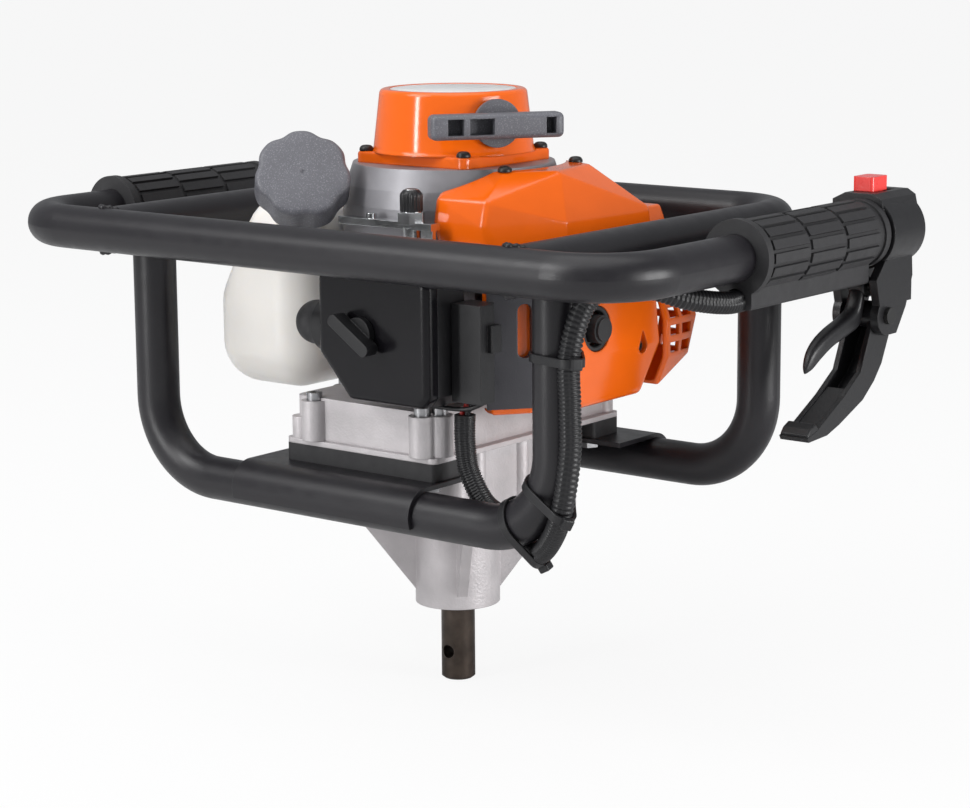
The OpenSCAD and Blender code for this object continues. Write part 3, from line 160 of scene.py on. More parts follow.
COAT_ROUGH = 0.08
SUB_RADIUS, SUB_SCALE = (1, 0.9, 0.75), 0.006
GLOSS_SCALE, GLOSS_LOW, GLOSS_HIGH = 2.3, 0.88, 1.12  # unevenness of the gloss, finer than the mottle
SPECK_START, SPECK_END = 0.58, 0.68  # noise values over which a speck sets in
WORN_START, WORN_PALE = 0.8, 0.35  # how far an edge has to turn to be worn, and how much paler it gets

FINISHES = {
    "frame_paint": dict(color=(0.0105, 0.0095, 0.0118), rough=0.36, grain=(1400, 0.10), edge=(0.5, 0.06), spec=0.4),
    "rubber": dict(color=(0.014, 0.0135, 0.015), rough=0.6, grain=(1600, 0.12), edge=(0.6, 0)),
    "steel": dict(color=(0.34, 0.34, 0.35), rough=0.36, metal=1, grain=(700, 0.05), edge=(0.3, 0.1)),
    "dark_steel": dict(color=(0.055, 0.042, 0.034), rough=0.36, metal=0.7, mottle=(90, 0.35), grain=(500, 0.06),
                       edge=(0.4, 0.1)),
    "black_steel": dict(color=(0.02, 0.02, 0.02), rough=0.4, metal=0.4, edge=(0.3, 0.1)),
    "chrome": dict(color=(0.62, 0.63, 0.64), rough=0.2, metal=1, grain=(600, 0.03), edge=(0.4, 0.1)),
    "cast_alloy": dict(color=(0.48, 0.455, 0.463), rough=0.46, metal=0.35, mottle=(45, 0.12), grain=(650, 0.22),
                       edge=(0.9, 0.15)),
    "silver_paint": dict(color=(0.25, 0.245, 0.26), rough=0.42, metal=0.4, grain=(1200, 0.06), edge=(0.5, 0.1)),
    "orange_plastic": dict(color=(0.78, 0.12, 0.004), rough=0.13, mottle=(25, 0.05), grain=(1500, 0.008),
                           edge=(1.6, 0), coat=0.1, spec=0.42),
    "grey_plastic": dict(color=(0.1, 0.1, 0.114), rough=0.45, grain=(1100, 0.14), edge=(0.8, 0.08),
                         speck=(1500, (0.27, 0.27, 0.3), 0.5)),
    "black_plastic": dict(color=(0.009, 0.0088, 0.01), rough=0.38, grain=(1300, 0.08), edge=(0.8, 0.03), spec=0.4),
    "filter_black": dict(color=(0.006, 0.0055, 0.007), rough=0.2, mottle=(30, 0.1), grain=(900, 0.02),
                         edge=(1.6, 0.02), spec=0.22),
    "dark_panel": dict(color=(0.038, 0.037, 0.043), rough=0.34, grain=(1200, 0.06), edge=(1.0, 0.04)),
    "red_plastic": dict(color=(0.8, 0.045, 0.038), rough=0.28, grain=(900, 0.03), edge=(0.8, 0), coat=0.3),
    "wire": dict(color=(0.5, 0.02, 0.015), rough=0.35, edge=(0.2, 0)),
    "rope": dict(color=(0.62, 0.6, 0.56), rough=0.8, mottle=(700, 0.2), grain=(1800, 0.5), edge=(0.2, 0)),
    "foam": dict(color=(0.17, 0.155, 0.12), rough=0.95, mottle=(900, 0.4), grain=(1100, 0.8), edge=(0.8, 0)),
    "tank_white": dict(color=(0.76, 0.735, 0.70), rough=0.34, mottle=(18, 0.03), grain=(500, 0.03), edge=(1.2, 0),
                       sub=0.6),
}


def shade(name, color, rough, metal=0.0, mottle=(60, 0.06), grain=(900, 0.05), edge=(0.5, 0.0), coat=0.0, spec=0.5,
          sub=0.0, speck=None):
    """A procedural finish: mottled colour, uneven gloss, grain as bump, rounded and slightly worn edges.

    mottle and grain are a noise's scale and its strength, edge is a radius in mm and how worn it is, and speck is
    a noise's scale, a colour and a strength.
    """
    mat = bpy.data.materials.new(name)
    mat.use_nodes = True
    tree = mat.node_tree
    link = tree.links.new
    bsdf = tree.nodes["Principled BSDF"]
    bsdf.inputs["Metallic"].default_value = metal
    bsdf.inputs["Specular IOR Level"].default_value = spec
    bsdf.inputs["Coat Weight"].default_value = coat
    bsdf.inputs["Coat Roughness"].default_value = COAT_ROUGH
    if sub:
        bsdf.inputs["Subsurface Weight"].default_value = sub
        bsdf.inputs["Subsurface Radius"].default_value = SUB_RADIUS
        bsdf.inputs["Subsurface Scale"].default_value = SUB_SCALE
    spot = tree.nodes.new("ShaderNodeTexCoord").outputs["Object"]

    def noise(scale, detail=3.0):
        n = tree.nodes.new("ShaderNodeTexNoise")
        n.inputs["Scale"].default_value = scale
        n.inputs["Detail"].default_value = detail
        link(spot, n.inputs["Vector"])
        return n.outputs["Fac"]

    def spread(value, low, high, start=0.3, end=0.7):
        r = tree.nodes.new("ShaderNodeMapRange")
        r.inputs["From Min"].default_value = start
        r.inputs["From Max"].default_value = end
        r.inputs["To Min"].default_value = low
        r.inputs["To Max"].default_value = high
        link(value, r.inputs["Value"])
        return r.outputs["Result"]

    def blend(fac, a, b):
        m = tree.nodes.new("ShaderNodeMix")
        m.data_type = "RGBA"
        link(fac, m.inputs["Factor"])
        for socket, value in ((m.inputs["A"], a), (m.inputs["B"], b)):
            if hasattr(value, "node"):
                link(value, socket)
            else:
                socket.default_value = (*value, 1)
        return m.outputs["Result"]

    dark = tuple(max(0, c * (1 - mottle[1])) for c in color)
    light = tuple(min(1, c * (1 + mottle[1])) for c in color)
    tint = blend(spread(noise(mottle[0]), 0, 1), dark, light)
    if speck:
        scale, speck_color, strength = speck
        tint = blend(spread(noise(scale, 1), 0, strength, SPECK_START, SPECK_END), tint, speck_color)
    bevel = tree.nodes.new("ShaderNodeBevel")
    bevel.samples = 4
    bevel.inputs["Radius"].default_value = edge[0] * MM
    if edge[1]:
        flat = tree.nodes.new("ShaderNodeNewGeometry").outputs["Normal"]
        dot = tree.nodes.new("ShaderNodeVectorMath")
        dot.operation = "DOT_PRODUCT"
        link(bevel.outputs[0], dot.inputs[0])
        link(flat, dot.inputs[1])
        worn = spread(dot.outputs["Value"], edge[1], 0, WORN_START, 1.0)
        tint = blend(worn, tint, tuple(min(1, WORN_PALE + c) for c in color))
    link(tint, bsdf.inputs["Base Color"])
    gloss = spread(noise(mottle[0] * GLOSS_SCALE), rough * GLOSS_LOW, min(1, rough * GLOSS_HIGH))
    link(gloss, bsdf.inputs["Roughness"])
    bump = tree.nodes.new("ShaderNodeBump")
    bump.inputs["Strength"].default_value = grain[1]
    bump.inputs["Distance"].default_value = MM
    link(noise(grain[0], 2), bump.inputs["Height"])
    link(bevel.outputs[0], bump.inputs["Normal"])
    link(bump.outputs[0], bsdf.inputs["Normal"])
    return mat


mats = {name: shade(name, **finish) for name, finish in FINISHES.items()}


def dress_nodes():
    """Gives each CAD node the finish of its slot."""
    slots = {s["node"]: s["material_slot"] for s in frame["record"]["subparts"]}
    for name, obj in frame["nodes"].items():
        for place in obj.material_slots:
            place.material = mats[slots[name]]
        if not obj.material_slots:
            obj.data.materials.append(mats[slots[name]])


# Mesh helpers


def add_piece(name, mesh, slot, body, stands_for):
    """A mesh as a piece with its finish, the body that it rides on and the node that it replaces."""
    obj = bpy.data.objects.new(name, mesh)
    scene.collection.objects.link(obj)
    mesh.materials.clear()
    mesh.materials.append(mats[slot])
    if body:
        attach(obj, body)
    if stands_for:
        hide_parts(stands_for)
    return obj


def add_mesh(name, points, faces, slot, body="frame", stands_for=None):
    mesh = bpy.data.meshes.new(name)
    mesh.from_pydata([Vector(p) * MM for p in points], [], faces)
    mesh.validate()
    bm = bmesh.new()
    bm.from_mesh(mesh)
    bmesh.ops.recalc_face_normals(bm, faces=bm.faces)
    bm.to_mesh(mesh)
    bm.free()
    mesh.shade_smooth()
    return add_piece(name, mesh, slot, body, stands_for)


def circle(r, count):
    """Points around a circle, as pairs."""
    turns = [2 * math.pi * k / count for k in range(count)]
    return [(r * math.cos(a), r * math.sin(a)) for a in turns]


def arc(center, r, start, end, steps=6):
    """Points of a circular arc in a profile, angles in degrees."""
    turns = [math.radians(start + (end - start) * i / steps) for i in range(steps + 1)]
    return [(center[0] + r * math.cos(a), center[1] + r * math.sin(a)) for a in turns]


def ring_faces(count, sides, closed=False):
    """Faces over a row of rings of points: a closed row is a loop, an open one gets two ends."""
    faces = []
    for i in range(count if closed else count - 1):
        a, b = i * sides, (i + 1) % count * sides
        faces += [(a + k, a + (k + 1) % sides, b + (k + 1) % sides, b + k) for k in range(sides)]
    if not closed:
        faces += [tuple(range(sides)), tuple((count - 1) * sides + k for k in range(sides))]
    return faces


def tube(name, path, radius, slot, stands_for=None, sides=16, notch=None, slit=0.9, closed=False):
    """A tube along path. radius is a number or a list, one a point; notch is a direction that gets a slit."""
    n = len(path)
    spots = [Vector(p) for p in path]
    points = []
    up = Vector((0.31, 0.22, 0.93))
    for i in range(n):
        if closed:
            ahead = (spots[(i + 1) % n] - spots[i - 1]).normalized()
        else:
            ahead = (spots[min(i + 1, n - 1)] - spots[max(i - 1, 0)]).normalized()
        ref = Vector(notch) if notch else up
        up = (ref - ahead * ref.dot(ahead)).normalized()
        side = ahead.cross(up)
        r = radius[i] if hasattr(radius, "__len__") else radius
        for k, (c, s) in enumerate(circle(1, sides)):
            q = r - slit if notch and k == 0 else r
            points.append(spots[i] + up * q * c + side * q * s)
    return add_mesh(name, points, ring_faces(n, sides, closed), slot, stands_for=stands_for)


def smooth_path(knots, count):
    """count points along a smooth curve through the knots."""
    p = [Vector(k) for k in knots]
    n = len(p) - 1
    out = []
    for j in range(count):
        v = min(j / (count - 1), 0.99999) * n
        i = int(v)
        t = v - i
        a, b, c, d = p[max(i - 1, 0)], p[i], p[i + 1], p[min(i + 2, n)]
        square, cube = 2 * a - 5 * b + 4 * c - d, 3 * b - a - 3 * c + d
        out.append(0.5 * (2 * b + (c - a) * t + square * t * t + cube * t ** 3))
    return out


def lathe(name, profile, place, slot, body="frame", stands_for=None, sides=96, closed=False, ripple=None):
    """A turned form: profile is radius and height, place takes x, y and height to mm, ripple changes a radius."""
    points = []
    for r, h in profile:
        for k in range(sides):
            a = 2 * math.pi * k / sides
            q = ripple(r, a) if ripple else r
            points.append(place(q * math.cos(a), q * math.sin(a), h))
    obj = add_mesh(name, points, ring_faces(len(profile), sides, closed), slot, body, stands_for)
    obj.data.set_sharp_from_angle(angle=math.radians(SHARP))
    return obj


def upright(center):
    """A place for lathe: on an axis along Z."""
    return lambda x, y, h: (center[0] + x, center[1] + y, center[2] + h)


def sideways(center):
    """A place for lathe: on an axis along X."""
    return lambda x, y, h: (center[0] + h, center[1] + x, center[2] + y)


# Solid helpers


def ball(center, r, rings=8, sides=16):
    """Points on a sphere."""
    out = []
    for i in range(rings + 1):
        t = math.pi * i / rings
        for k in range(sides if 0 < i < rings else 1):
            a = 2 * math.pi * k / sides
            off = Vector((math.sin(t) * math.cos(a), math.sin(t) * math.sin(a), math.cos(t)))
            out.append(Vector(center) + r * off)
    return out


def hull_mesh(points):
    """The convex hull of points, with its flat faces merged."""
    bm = bmesh.new()
    for p in points:
        bm.verts.new(Vector(p) * MM)
    made = bmesh.ops.convex_hull(bm, input=bm.verts)
    spare = {g for k in ("geom_interior", "geom_unused") for g in made[k] if isinstance(g, bmesh.types.BMVert)}
    bmesh.ops.delete(bm, geom=list(spare), context="VERTS")
    bmesh.ops.remove_doubles(bm, verts=bm.verts, dist=1e-6)
    bmesh.ops.dissolve_limit(bm, angle_limit=math.radians(0.3), verts=bm.verts, edges=bm.edges)
    bmesh.ops.recalc_face_normals(bm, faces=bm.faces)
    mesh = bpy.data.meshes.new("form")
    bm.to_mesh(mesh)
    bm.free()
    return mesh


def round_hull(centers, r):
    """A convex form through balls of one radius: every edge is rounded."""
    return hull_mesh([p for c in centers for p in ball(c, r)])


def box_mesh(low, high):
    return hull_mesh([(x, y, z) for x in (low[0], high[0]) for y in (low[1], high[1]) for z in (low[2], high[2])])


def rod_mesh(start, end, r, sides=96):
    """A straight round rod."""
    a, b = Vector(start), Vector(end)
    ahead = (b - a).normalized()
    side = ahead.orthogonal().normalized()
    up = ahead.cross(side)
    ring = [r * (side * c + up * s) for c, s in circle(1, sides)]
    return hull_mesh([p + q for p in (a, b) for q in ring])


def carve(mesh, steps):
    """Boolean steps, each an operation and a mesh, on a form."""
    obj = bpy.data.objects.new("form", mesh)
    scene.collection.objects.link(obj)
    tools = []
    for operation, tool in steps:
        other = bpy.data.objects.new("tool", tool)
        scene.collection.objects.link(other)
        mod = obj.modifiers.new(operation, "BOOLEAN")
        mod.operation = operation
        mod.solver = "EXACT"
        mod.object = other
        tools.append(other)
    bpy.context.view_layer.update()
    done = bpy.data.meshes.new_from_object(obj.evaluated_get(bpy.context.evaluated_depsgraph_get()))
    for other in tools + [obj]:
        bpy.data.objects.remove(other)
    return done


def add_solid(name, mesh, slot, body="frame", stands_for=None, sharp=SHARP):
    """A finished form as a piece, with flat faces kept flat between its rounded edges."""
    mesh.shade_smooth()
    mesh.set_sharp_from_angle(angle=math.radians(sharp))
    obj = add_piece(name, mesh, slot, body, stands_for)
    flat = obj.modifiers.new("flat", "WEIGHTED_NORMAL")
    flat.keep_sharp = True
    return obj


# Cables: the ribbed conduit on the frame with its leads and ties, the module's cable and the starter's rope

REACH = 19.4  # between the middles of the hoop's tube and the conduit
LOOM_Z = 247.6  # where the conduit leaves the grip
LOOM_END = Vector((69, 20 - HOOP_Y, DECK + 1))
RIBS, RIB = 190, (5.1, 5.75, 6.0, 5.75)  # number of ribs, and the radii along one
TIES = ((90, -32, 52), (62, -28, 0), (27, 14, 0))  # angle on the hoop's bend, angle around its tube, lift

PULL_TURN = math.radians(-36)
PULL_SIDE, PULL_Z = 12.5, 331  # the rope's line beside the axis
HANDLE_OUT = 62  # the handle's middle along the pull


def hoop_spot(a):
    """The middle of the hoop's tube at angle a of its bend, from the bar up to the post."""
    a = math.radians(a)
    return Vector((POST + BEND * (math.sin(a) - 1), -HOOP_Y, HOOP_Z + BEND * (1 - math.cos(a))))


def hoop_axes(a, side):
    """Outward, around and along the hoop's tube, at angle a of its bend and angle side around it."""
    s, b = math.radians(side), math.radians(a)
    out = Vector((math.cos(s) * math.sin(b), math.sin(s), -math.cos(s) * math.cos(b)))
    around = Vector((-math.sin(s) * math.sin(b), math.cos(s), math.sin(s) * math.cos(b)))
    return out, around, Vector((math.cos(b), 0, math.sin(b)))


def beside(a, side, lift=0):
    """The conduit's middle, beside the hoop's tube."""
    return hoop_spot(a) + REACH * hoop_axes(a, side)[0] + Vector((0, 0, lift))


def loom_knots():
    """The conduit's route: out of the grip, down the post, under the hoop's bend and up to the engine."""
    return [
        (ARM, -21, LOOM_Z), (ARM, -40, LOOM_Z), (POST + 59, 36 - HOOP_Y, LOOM_Z + 3.9),
        (POST + 42, 13 - HOOP_Y, LOOM_Z + 11.9), (POST + 24, -3 - HOOP_Y, LOOM_Z + 6.4),
        beside(90, -32, 57), beside(90, -32, 30), beside(90, -32, 3),
        beside(62, -28), beside(42, -10), beside(27, 14), beside(14, 50), beside(0, 85),
        LOOM_END + Vector((15, -1, -48)), LOOM_END + Vector((3, 0, -32)), LOOM_END - Vector((0, 0, 16)), LOOM_END,
    ]


def add_conduit():
    path = smooth_path(loom_knots(), RIBS * len(RIB))
    radius = [RIB[i % len(RIB)] for i in range(len(path))]
    loom = tube("conduit", path, radius, "black_plastic", "cable_conduit", sides=28, notch=(0.45, -0.87, 0.2))


def add_leads():
    """The two leads, from the conduit's end into the engine."""
    for x, name, slot, node in ((-1.8, "lead_red", "wire", "lead_wires"), (1.8, "lead_black", "black_plastic", None)):
        offsets = ((x, 0, -6), (x, 0, 1), (x + 2, 0.5, 4), (x + 3, 1, 7.6))
        tube(name, smooth_path([LOOM_END + Vector(off) for off in offsets], 16), 1.45, slot, node, sides=12)


def add_ties():
    """Straps drawn tight around the hoop and the conduit, each with its head."""
    tube_r, loom_r, thick, half = 12.9, 6.5, 1.3, 2.3
    lean = math.acos((tube_r - loom_r) / REACH)
    loop = [(0, tube_r, lean + (2 * math.pi - 2 * lean) * i / 60) for i in range(61)]
    loop += [(REACH, loom_r, -lean + 2 * lean * i / 30) for i in range(31)]
    section = ((0, -half), (thick, -half), (thick, half), (0, half))
    for n, (a, side, lift) in enumerate(TIES):
        out, around, along = hoop_axes(a, side)
        middle = hoop_spot(a) + Vector((0, 0, lift))
        points = []
        for start, r, turn in loop:
            for deep, z in section:
                x, y = start + (r + deep) * math.cos(turn), (r + deep) * math.sin(turn)
                points.append(middle + out * x + around * y + along * z)
        faces = ring_faces(len(loop), len(section), closed=True)
        strap = add_mesh("tie_%d" % n, points, faces, "black_plastic", stands_for="cable_ties")
        strap.data.set_sharp_from_angle(angle=math.radians(SHARP))
        head = middle + out * (REACH + loom_r + 2)
        block = [head + out * x + around * y + along * z for x in (-1.2, 1.2) for y in (-2.2, 2.2) for z in (-2.4, 2.4)]
        add_solid("tie_head_%d" % n, round_hull(block, 0.8), "black_plastic", stands_for="cable_ties")


def add_module_cable():
    """The ignition module's thin cable, along the gear case and under the filter."""
    knots = [
        (85, -79, 187.4), (80.5, -80.6, 184.6), (75.5, -82.2, 182.5), (68, -83.5, 181.7), (57, -84, 181.6),
        (44, -84, 181.7), (26, -83.4, 181.7), (9, -80, 181.6), (-4, -71, 181.3), (-11, -62, 180.7), (-15, -55.2, 180),
    ]
    path = smooth_path(knots, 90)
    cable = tube("module_cable", path, 1.3, "black_plastic", sides=12)


def pull_spot(x, y, out):
    """A point in the starter's frame: across, up and outward along the pull."""
    ahead = Vector((math.cos(PULL_TURN), math.sin(PULL_TURN), 0))
    left = Vector((-math.sin(PULL_TURN), math.cos(PULL_TURN), 0))
    return Vector((0, 0, PULL_Z)) + ahead * out + left * (PULL_SIDE + x) + Vector((0, 0, y))


def add_rope():
    """The braided rope from inside its guide to the handle."""
    steps, sides = 60, 24
    start, length = 31, HANDLE_OUT - 33.2
    radius, relief, twist = 1.74, 0.16, 0.8
    points = []
    for i in range(steps):
        out = start + length * i / (steps - 1)
        for k in range(sides):
            a = 2 * math.pi * k / sides
            r = radius + relief * math.sin(4 * a + i * twist) * math.sin(4 * a - i * twist)
            points.append(pull_spot(r * math.cos(a), r * math.sin(a), out))
    rope = add_mesh("rope", points, ring_faces(steps, sides), "rope", body=None, stands_for="starter_rope")
    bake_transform(rope)


# Orange covers

WALL = 2.5


def spots_of(levels):
    """The corners of a form that is given level by level."""
    return [(x, y, z) for z, spots in levels for x, y in spots]


def shroud_points(w, back):
    """The cylinder cover's five levels, drawn in by w, with its engine side moved by back."""
    e, f = END - w, FAN_R
    return spots_of((
        (TOP - w, ((24 - back, w - 36), (f - w / 2, w - 37), (f + 21 - w, w / 2 - 12), (f + 12 - w, 36 - w),
                   (f - 2 - w, 44 - w), (24 - back, 48 - w))),
        (TOP - 14 - w / 2, ((33 - back, w - 60), (f + 6 - w / 2, w - 59), (60, -40))),
        (TOP - 25 - w / 2, ((33 - back, w - 62), (f + 6 - w / 2, w - 62), (e - 6, w / 2 - 22), (e - 2, 56 - w),
                            (24 - back, 64 - w))),
        (LOW + 30, ((58 - back, w - 62), (72 - w / 2, w - 62), (e, w / 2 - 24), (e, 64 - w), (58 - back, 64 - w))),
        (LOW + w, ((58 - back, w - 56), (70 - w / 2, w - 56), (e - 4, w - 22), (e - 4, 52 - w), (58 - back, 54 - w))),
    ))


def drop_mesh(grow, low, high):
    """The teardrop of the recessed screw, as a prism along X."""
    points = []
    for x in (low, high):
        for r, up in ((4 + grow, 0), (0.8 + grow, 8)):
            points += [(x, RECESS_Y + c, RECESS_Z + up + s) for c, s in circle(r, 32)]
    return hull_mesh(points)


def add_shroud():
    """The cylinder's cover: a faceted shell, open to the fan housing and the filter, with the plug's hole."""
    soft, plug_r = 5, 13
    form = carve(round_hull(shroud_points(soft, -soft), soft), [
        ("DIFFERENCE", hull_mesh(shroud_points(WALL, 8))),
        ("UNION", drop_mesh(2.2, END - 6.5, END - 1.4)),
        ("DIFFERENCE", rod_mesh((0, 0, 147), (0, 0, 347), FAN_R + 0.6)),
        ("DIFFERENCE", box_mesh((0, -90, 157), (69, -48, 269))),
        ("DIFFERENCE", rod_mesh((60, 0, CRANK), (140, 0, CRANK), plug_r)),
        ("DIFFERENCE", drop_mesh(0, END - 4, END + 9)),
    ])
    add_solid("shroud", form, "orange_plastic", stands_for="cylinder_shroud")


def guard_points(w):
    """The exhaust guard's four levels, drawn in by w."""
    e, near = END - w, 64.4 + w
    return spots_of((
        (TOP - 28 - w, ((56 + w, near), (84 - w, near), (82 - w, 92 - w), (56 + w, 92 - w))),
        (CRANK - 4, ((56 + w, near), (e + 2, near), (e + 2, 97 - w), (56 + w, 97 - w))),
        (CRANK - 25, ((60 + w, near), (e + 2, near), (e, 92 - w), (60 + w, 92 - w))),
        (LOW + 3 + w, ((60 + w, near), (e - 4, near), (e - 6, 72 - w), (60 + w, 72 - w))),
    ))


def add_guard():
    """The exhaust guard: a shell that is open to the cylinder's cover, with windows on two sides."""
    soft, window, pitch = 2.4, 6, 10
    inner = [(x, y - 5 if y < 70 else y, z) for x, y, z in guard_points(WALL)]
    steps = [("DIFFERENCE", hull_mesh(inner))]
    for i in range(4):
        z = CRANK - 23 + i * pitch
        for j in range(2):
            steps.append(("DIFFERENCE", box_mesh((90, 69 + j * 12, z), (120, 78 + j * 12, z + window))))
            steps.append(("DIFFERENCE", box_mesh((66 + j * 16, 85, z), (79 + j * 16, 115, z + window))))
    form = carve(round_hull(guard_points(soft), soft), steps)
    add_solid("exhaust_guard", form, "orange_plastic", stands_for="muffler_guard")


def add_recoil():
    """The starter's cover: a square flange and a hollow cone with a rounded rim and a bare disc on top."""
    half, r, low, high = 40.5, 5, 306.5, 313
    levels = ((low, r), (high - 1.6, r), (high - 0.5, r - 0.5), (high, r - 1.6))
    corners = [(x * (half - r), y * (half - r)) for x in (-1, 1) for y in (-1, 1)]
    base = [(x + c, y + s, z) for x, y in corners for z, q in levels for c, s in circle(q, 16)]
    flange = carve(hull_mesh(base), [("DIFFERENCE", rod_mesh((0, 0, 300), (0, 0, 320), 39.3))])
    add_solid("recoil_flange", flange, "orange_plastic", stands_for="recoil_housing")
    on_axis = upright((0, 0, 0))
    outer = [(47.6, 312.6), (46.6, 313.4), (46.0, 315)] + arc((39.6, 345.2), 2.8, 5, 90) + [(36.9, 348), (36.5, 347.4)]
    inner = [(8, 347.2), (8, 344.6), (38.2, 344.6), (42.6, 314), (42.6, 312.6)]
    lathe("recoil_cone", outer + inner, on_axis, "orange_plastic", stands_for="recoil_housing", sides=128, closed=True)
    disc = [(0.2, 347.1), (36.2, 347.1), (36.2, 347.5), (35.8, 347.75), (0.2, 347.75)]
    lathe("top_disc", disc, on_axis, "tank_white", sides=128)


# Fuel tank, its cap and the starter's handle

CAP_AT = Vector((-45, -80, 299.5))
CAP_TURN, CAP_TILT = math.radians(-45), math.radians(33)


def cap_spot(x, y, h):
    """A point in the filler's frame, h along the neck."""
    level = math.cos(CAP_TILT)
    ahead = Vector((level * math.cos(CAP_TURN), level * math.sin(CAP_TURN), math.sin(CAP_TILT)))
    side = Vector((-math.sin(CAP_TURN), math.cos(CAP_TURN), 0))
    return CAP_AT + ahead * h + side * x + ahead.cross(side) * y


def add_tank():
    """A rounded tank with a leaning side, cut out for the fan housing, and its filler neck."""
    r, low, waist, high = 25, 173.5, 222, 285.5
    left, right, deep, slant, neck_r = -131, -54, 72, 20, 16.9
    spots = [(left + r, low + r), (right - r, low + r), (left + r, waist), (left + slant + r, high - r),
             (right - r, high - r)]
    centers = [(x, y, z) for x, z in spots for y in (r - deep, deep - r)]
    form = carve(hull_mesh([p for c in centers for p in ball(c, r, 16, 32)]), [
        ("DIFFERENCE", rod_mesh((0, 0, 238), (0, 0, 400), FAN_R + 0.7)),
        ("UNION", rod_mesh(cap_spot(0, 0, -36), cap_spot(0, 0, 3.4), neck_r)),
    ])
    add_solid("tank", form, "tank_white", stands_for="fuel_tank", sharp=50)


def add_cap():
    """A lobed cap with rounded edges, hollow over the neck."""

    def lobes(r, a):
        return r + (1.1 - 1.9 * (0.5 + 0.5 * math.sin(7 * a)) ** 2 if r > 20 else 0)

    profile = [(17.7, 4), (17.7, -10), (25.0, -10), (25.9, -9.2), (25.9, 6.8)]
    profile += arc((22.9, 6.8), 3, 0, 90) + [(19, 10.0), (10, 10.0), (1.4, 10.0), (1.0, 9.5), (0.3, 9.2)]
    lathe("cap", profile, cap_spot, "grey_plastic", "cap", "fuel_cap", sides=168, ripple=lobes)


def add_handle():
    """The starter's handle: a rounded bar with three pockets, on a short stem."""
    soft, shift, stem_r, rope_r = 3.2, -5, 6, 2
    signs = (-1, 1)

    def at(x, y, z):
        return pull_spot(shift + x, y, HANDLE_OUT + z)

    def stem(start, end, r):
        return rod_mesh(pull_spot(0, 0, HANDLE_OUT + start), pull_spot(0, 0, HANDLE_OUT + end), r)

    corners = [at(i * (38 - soft), j * (7 - soft), k * (6.5 - soft)) for i in signs for j in signs for k in signs]
    steps = [("UNION", stem(-13, -5, stem_r))]
    for x, w in ((-24.4, 9.3), (-9.4, 14.3), (30.2, 5.9)):
        pocket = [at(x + i * w / 2, j * 4.5, z) for i in signs for j in signs for z in (-4, 9)]
        steps.append(("DIFFERENCE", hull_mesh(pocket)))
    steps.append(("DIFFERENCE", stem(-14, -2, rope_r)))
    add_solid("pull_handle", carve(round_hull(corners, soft), steps), "grey_plastic", "starter", "starter_handle")


# Air filter

FILTER = ((-13, 208.5), (9, 183.5), (61, 183.5), (66, 189.5), (66, 251), (60, 257), (-7, 257), (-13, 251))


def filter_inset(w):
    """The filter's outline drawn in by w."""
    n = len(FILTER)
    out = []
    for i in range(n):
        a, b, c = (Vector(FILTER[k % n]) for k in (i - 1, i, i + 1))
        m, k = (b - a).normalized(), (c - b).normalized()
        na, nc = Vector((-m.y, m.x)), Vector((-k.y, k.x))
        out.append(b + (na + nc) * (w / (1 + na.dot(nc))))
    return out


def add_filter():
    """The filter's cover with a rounded front, its foam pad, and the primer bulb beside it."""
    back, front, soft = -97, -106, 4.5
    points = []
    for x, z in filter_inset(soft):
        points += ball((x, front + soft, z), soft)
        points += [(x + c, back, z + s) for c, s in circle(soft, 16)]
    add_solid("filter_cover", hull_mesh(points), "filter_black", stands_for="air_filter_cover")
    core = [(x, y, z) for x, z in filter_inset(6) for y in (-80.7, -94.3)]
    pad = add_solid("filter_pad", round_hull(core, 2.4), "foam", stands_for="air_filter_element")

    def bulb_spot(x, y, h):
        return -13 - h, y - 86, x + CRANK + 3

    dome = [(0.3, 4.6), (12.4, 4.6), (13.0, 5.2), (13.0, 9.0), (12.5, 9.6), (12.5, 16.5)]
    dome += arc((0.0, 16.8), 12.5, 5, 88, 14)
    lathe("bulb", dome, bulb_spot, "rubber", "bulb", "primer_bulb", sides=64)


# Levers


def add_lock():
    """The lock lever: a leaf-shaped blade that narrows to its tip, on a round hub."""
    stations = [  # upper edge's y and z, lower edge's y and z, share of the width
        (-3, 2, 0, -6, 0.86), (-5.8, -1, -2, -8, 0.92), (-9, -8, -4.5, -14, 0.97), (-12.5, -12, -8, -22, 1),
        (-22, -15.6, -21, -26, 1), (-35, -19.4, -35, -29.6, 0.95), (-46, -23.8, -46.5, -35, 0.82),
        (-54, -29.4, -53, -39.2, 0.62), (-58, -35.8, -56.6, -40.8, 0.38), (-59.2, -39.8, -58.4, -41.4, 0.12),
    ]
    half, count, sides, power = 5, 46, 28, 2 / 3.2
    section = [[math.copysign(abs(v) ** power, v) for v in pair] for pair in circle(1, sides)]
    points = []
    for ty, tz, by, bz, w in smooth_path(stations, count):
        for u, v in section:
            y, z = (ty + by) / 2 + (ty - by) / 2 * u, (tz + bz) / 2 + (tz - bz) / 2 * u
            points.append(LOCK_AT + Vector((half * w * v, y, z)))
    add_mesh("lock_blade", points, ring_faces(count, sides), "black_plastic", "lock", "lock_lever")
    bore, rim, round_off = 2.05, 6, 0.7
    ring = [(bore, -half), (rim - round_off, -half), (rim, round_off - half), (rim, half - round_off),
            (rim - round_off, half), (bore, half)]
    lathe("lock_hub", ring, sideways(LOCK_AT), "black_plastic", "lock", "lock_lever", sides=48, closed=True)


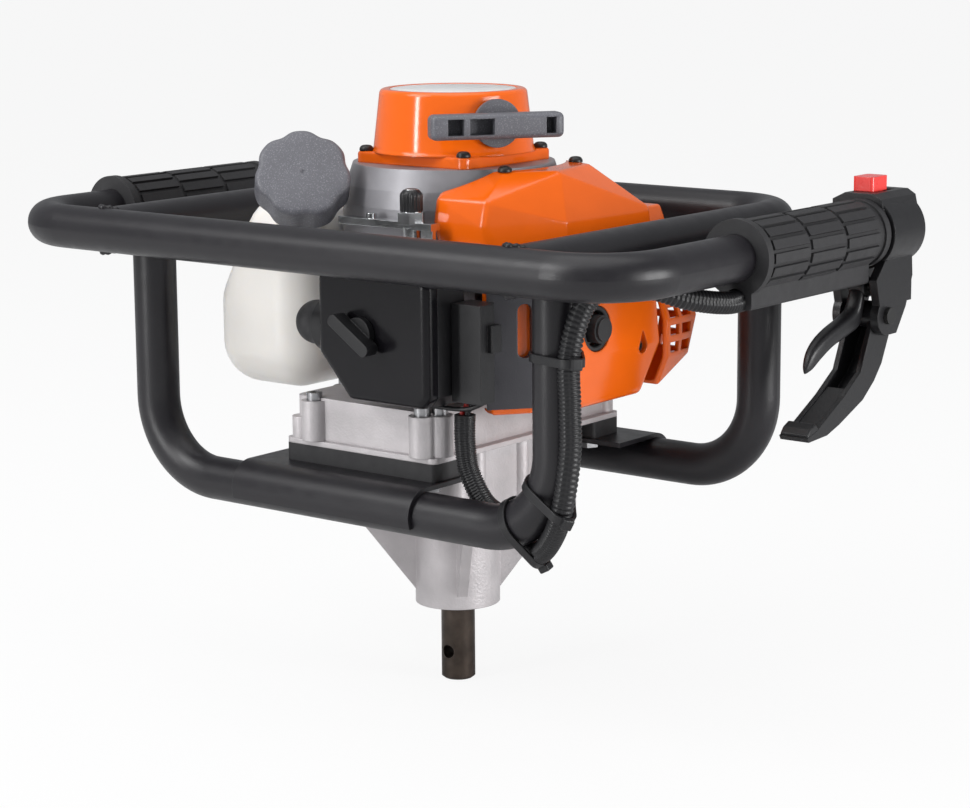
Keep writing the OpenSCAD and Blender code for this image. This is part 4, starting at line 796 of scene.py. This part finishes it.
def add_trigger_face():
    """The trigger's closed lower half between its cheeks, and the toe at its tip."""
    face = [(-62.5, -55.4), (-36.5, -42.6), (-29.5, -38.1), (-26.5, -45.5), (-30, -47), (-45.5, -53), (-58.5, -57)]
    plate = [TRIGGER_AT + Vector((x, y, z)) for x in (-6.2, 6.2) for y, z in face]
    add_solid("trigger_face", hull_mesh(plate), "black_plastic", "trigger")
    toe = [(-72.4, -59.4), (-72.8, -57.6), (-70.5, -55), (-66, -53), (-62.8, -55.2), (-64, -58)]
    corners = [TRIGGER_AT + Vector((x, y, z)) for x in (-7.7, 7.7) for y, z in toe]
    add_solid("trigger_toe", round_hull(corners, 1.2), "black_plastic", "trigger")


# Small parts


def add_cable_cap():
    """The knurled black cap over the throttle cable's nut."""

    def knurl(r, a):
        return r + (0.22 * math.cos(20 * a) if r > 5.8 else 0)

    profile = [(0.3, 285.7), (5.9, 285.7), (6.15, 286.2), (6.15, 294)]
    profile += arc((1.95, 294.1), 4.2, 0, 88, 8) + [(0.3, 298.35)]
    lathe("cable_cap", profile, upright((27, -71, 0)), "black_plastic", sides=160, ripple=knurl)


def add_plug_shade_ring():
    """A black ring in the cover's plug hole, around the boot: painted shade, a dark sheet that darkens the hole's lit
    inner wall.
    """
    profile = [(10.2, 96.6), (12.9, 96.6), (12.9, 100.6), (12.4, 101.2), (10.8, 101.2), (10.2, 100.6)]
    lathe("plug_shade_ring", profile, sideways((0, 0, CRANK)), "rubber", closed=True)


def add_screws():
    """Pan-head screws of the starter's flange and the cylinder's cover, and the small one in the recess."""
    dome = [(4.0, 0), (4.1, 0.5), (3.9, 1.6), (3.3, 2.5), (2.4, 3.05), (1.6, 3.2), (1.3, 2.2), (0.3, 2.1)]
    spots = [((x, y, 313), 6.5) for x in (-35.5, 35.5) for y in (-35.5, 35.5)]
    spots += [((61, y, TOP), 2.5) for y in (-31, 35)]
    for n, (center, deep) in enumerate(spots):
        profile = [(0.3, -deep), (2.5, -deep), (2.5, 0)] + dome
        lathe("screw_%d" % n, profile, upright(center), "black_steel", stands_for="cover_screws", sides=40)
    small = [(0.3, -2.5), (1.5, -2.5), (1.5, 0), (3.1, 0), (3.2, 0.4), (2.9, 1.2), (2.0, 1.75), (1.0, 1.8), (0.8, 1.2),
             (0.3, 1.2)]
    place = sideways((END - 4, RECESS_Y, RECESS_Z))
    lathe("screw_small", small, place, "black_steel", stands_for="cover_screws", sides=40)


def add_welds():
    """Beads where the ring meets the front bar, and under the ring where the posts meet it."""
    r, saddle, steps = 12.7, 12.9, 120
    size = [1.7 + 0.35 * math.sin(i * math.pi / 2) for i in range(steps)]
    for side, word in ((-1, "left"), (1, "right")):
        x = side * POST
        for n, y in enumerate((-BAR, -HOOP_Y, HOOP_Y)):
            if n == 0:
                path = [(x + r * c, y + saddle * abs(c), RING_Z + r * s) for c, s in circle(1, steps)]
            else:
                path = [(x + r * c, y + r * s, RING_Z - saddle * abs(s)) for c, s in circle(1, steps)]
            tube("weld_%s_%d" % (word, n), path, size, "frame_paint", sides=8, closed=True)


add_camera()
add_stage()
dress_nodes()
add_conduit()
add_leads()
add_rope()
add_module_cable()
add_shroud()
add_guard()
add_recoil()
add_tank()
add_cap()
add_handle()
add_filter()
add_cable_cap()
add_lock()
add_trigger_face()
add_plug_shade_ring()
add_ties()
add_screws()
add_welds()
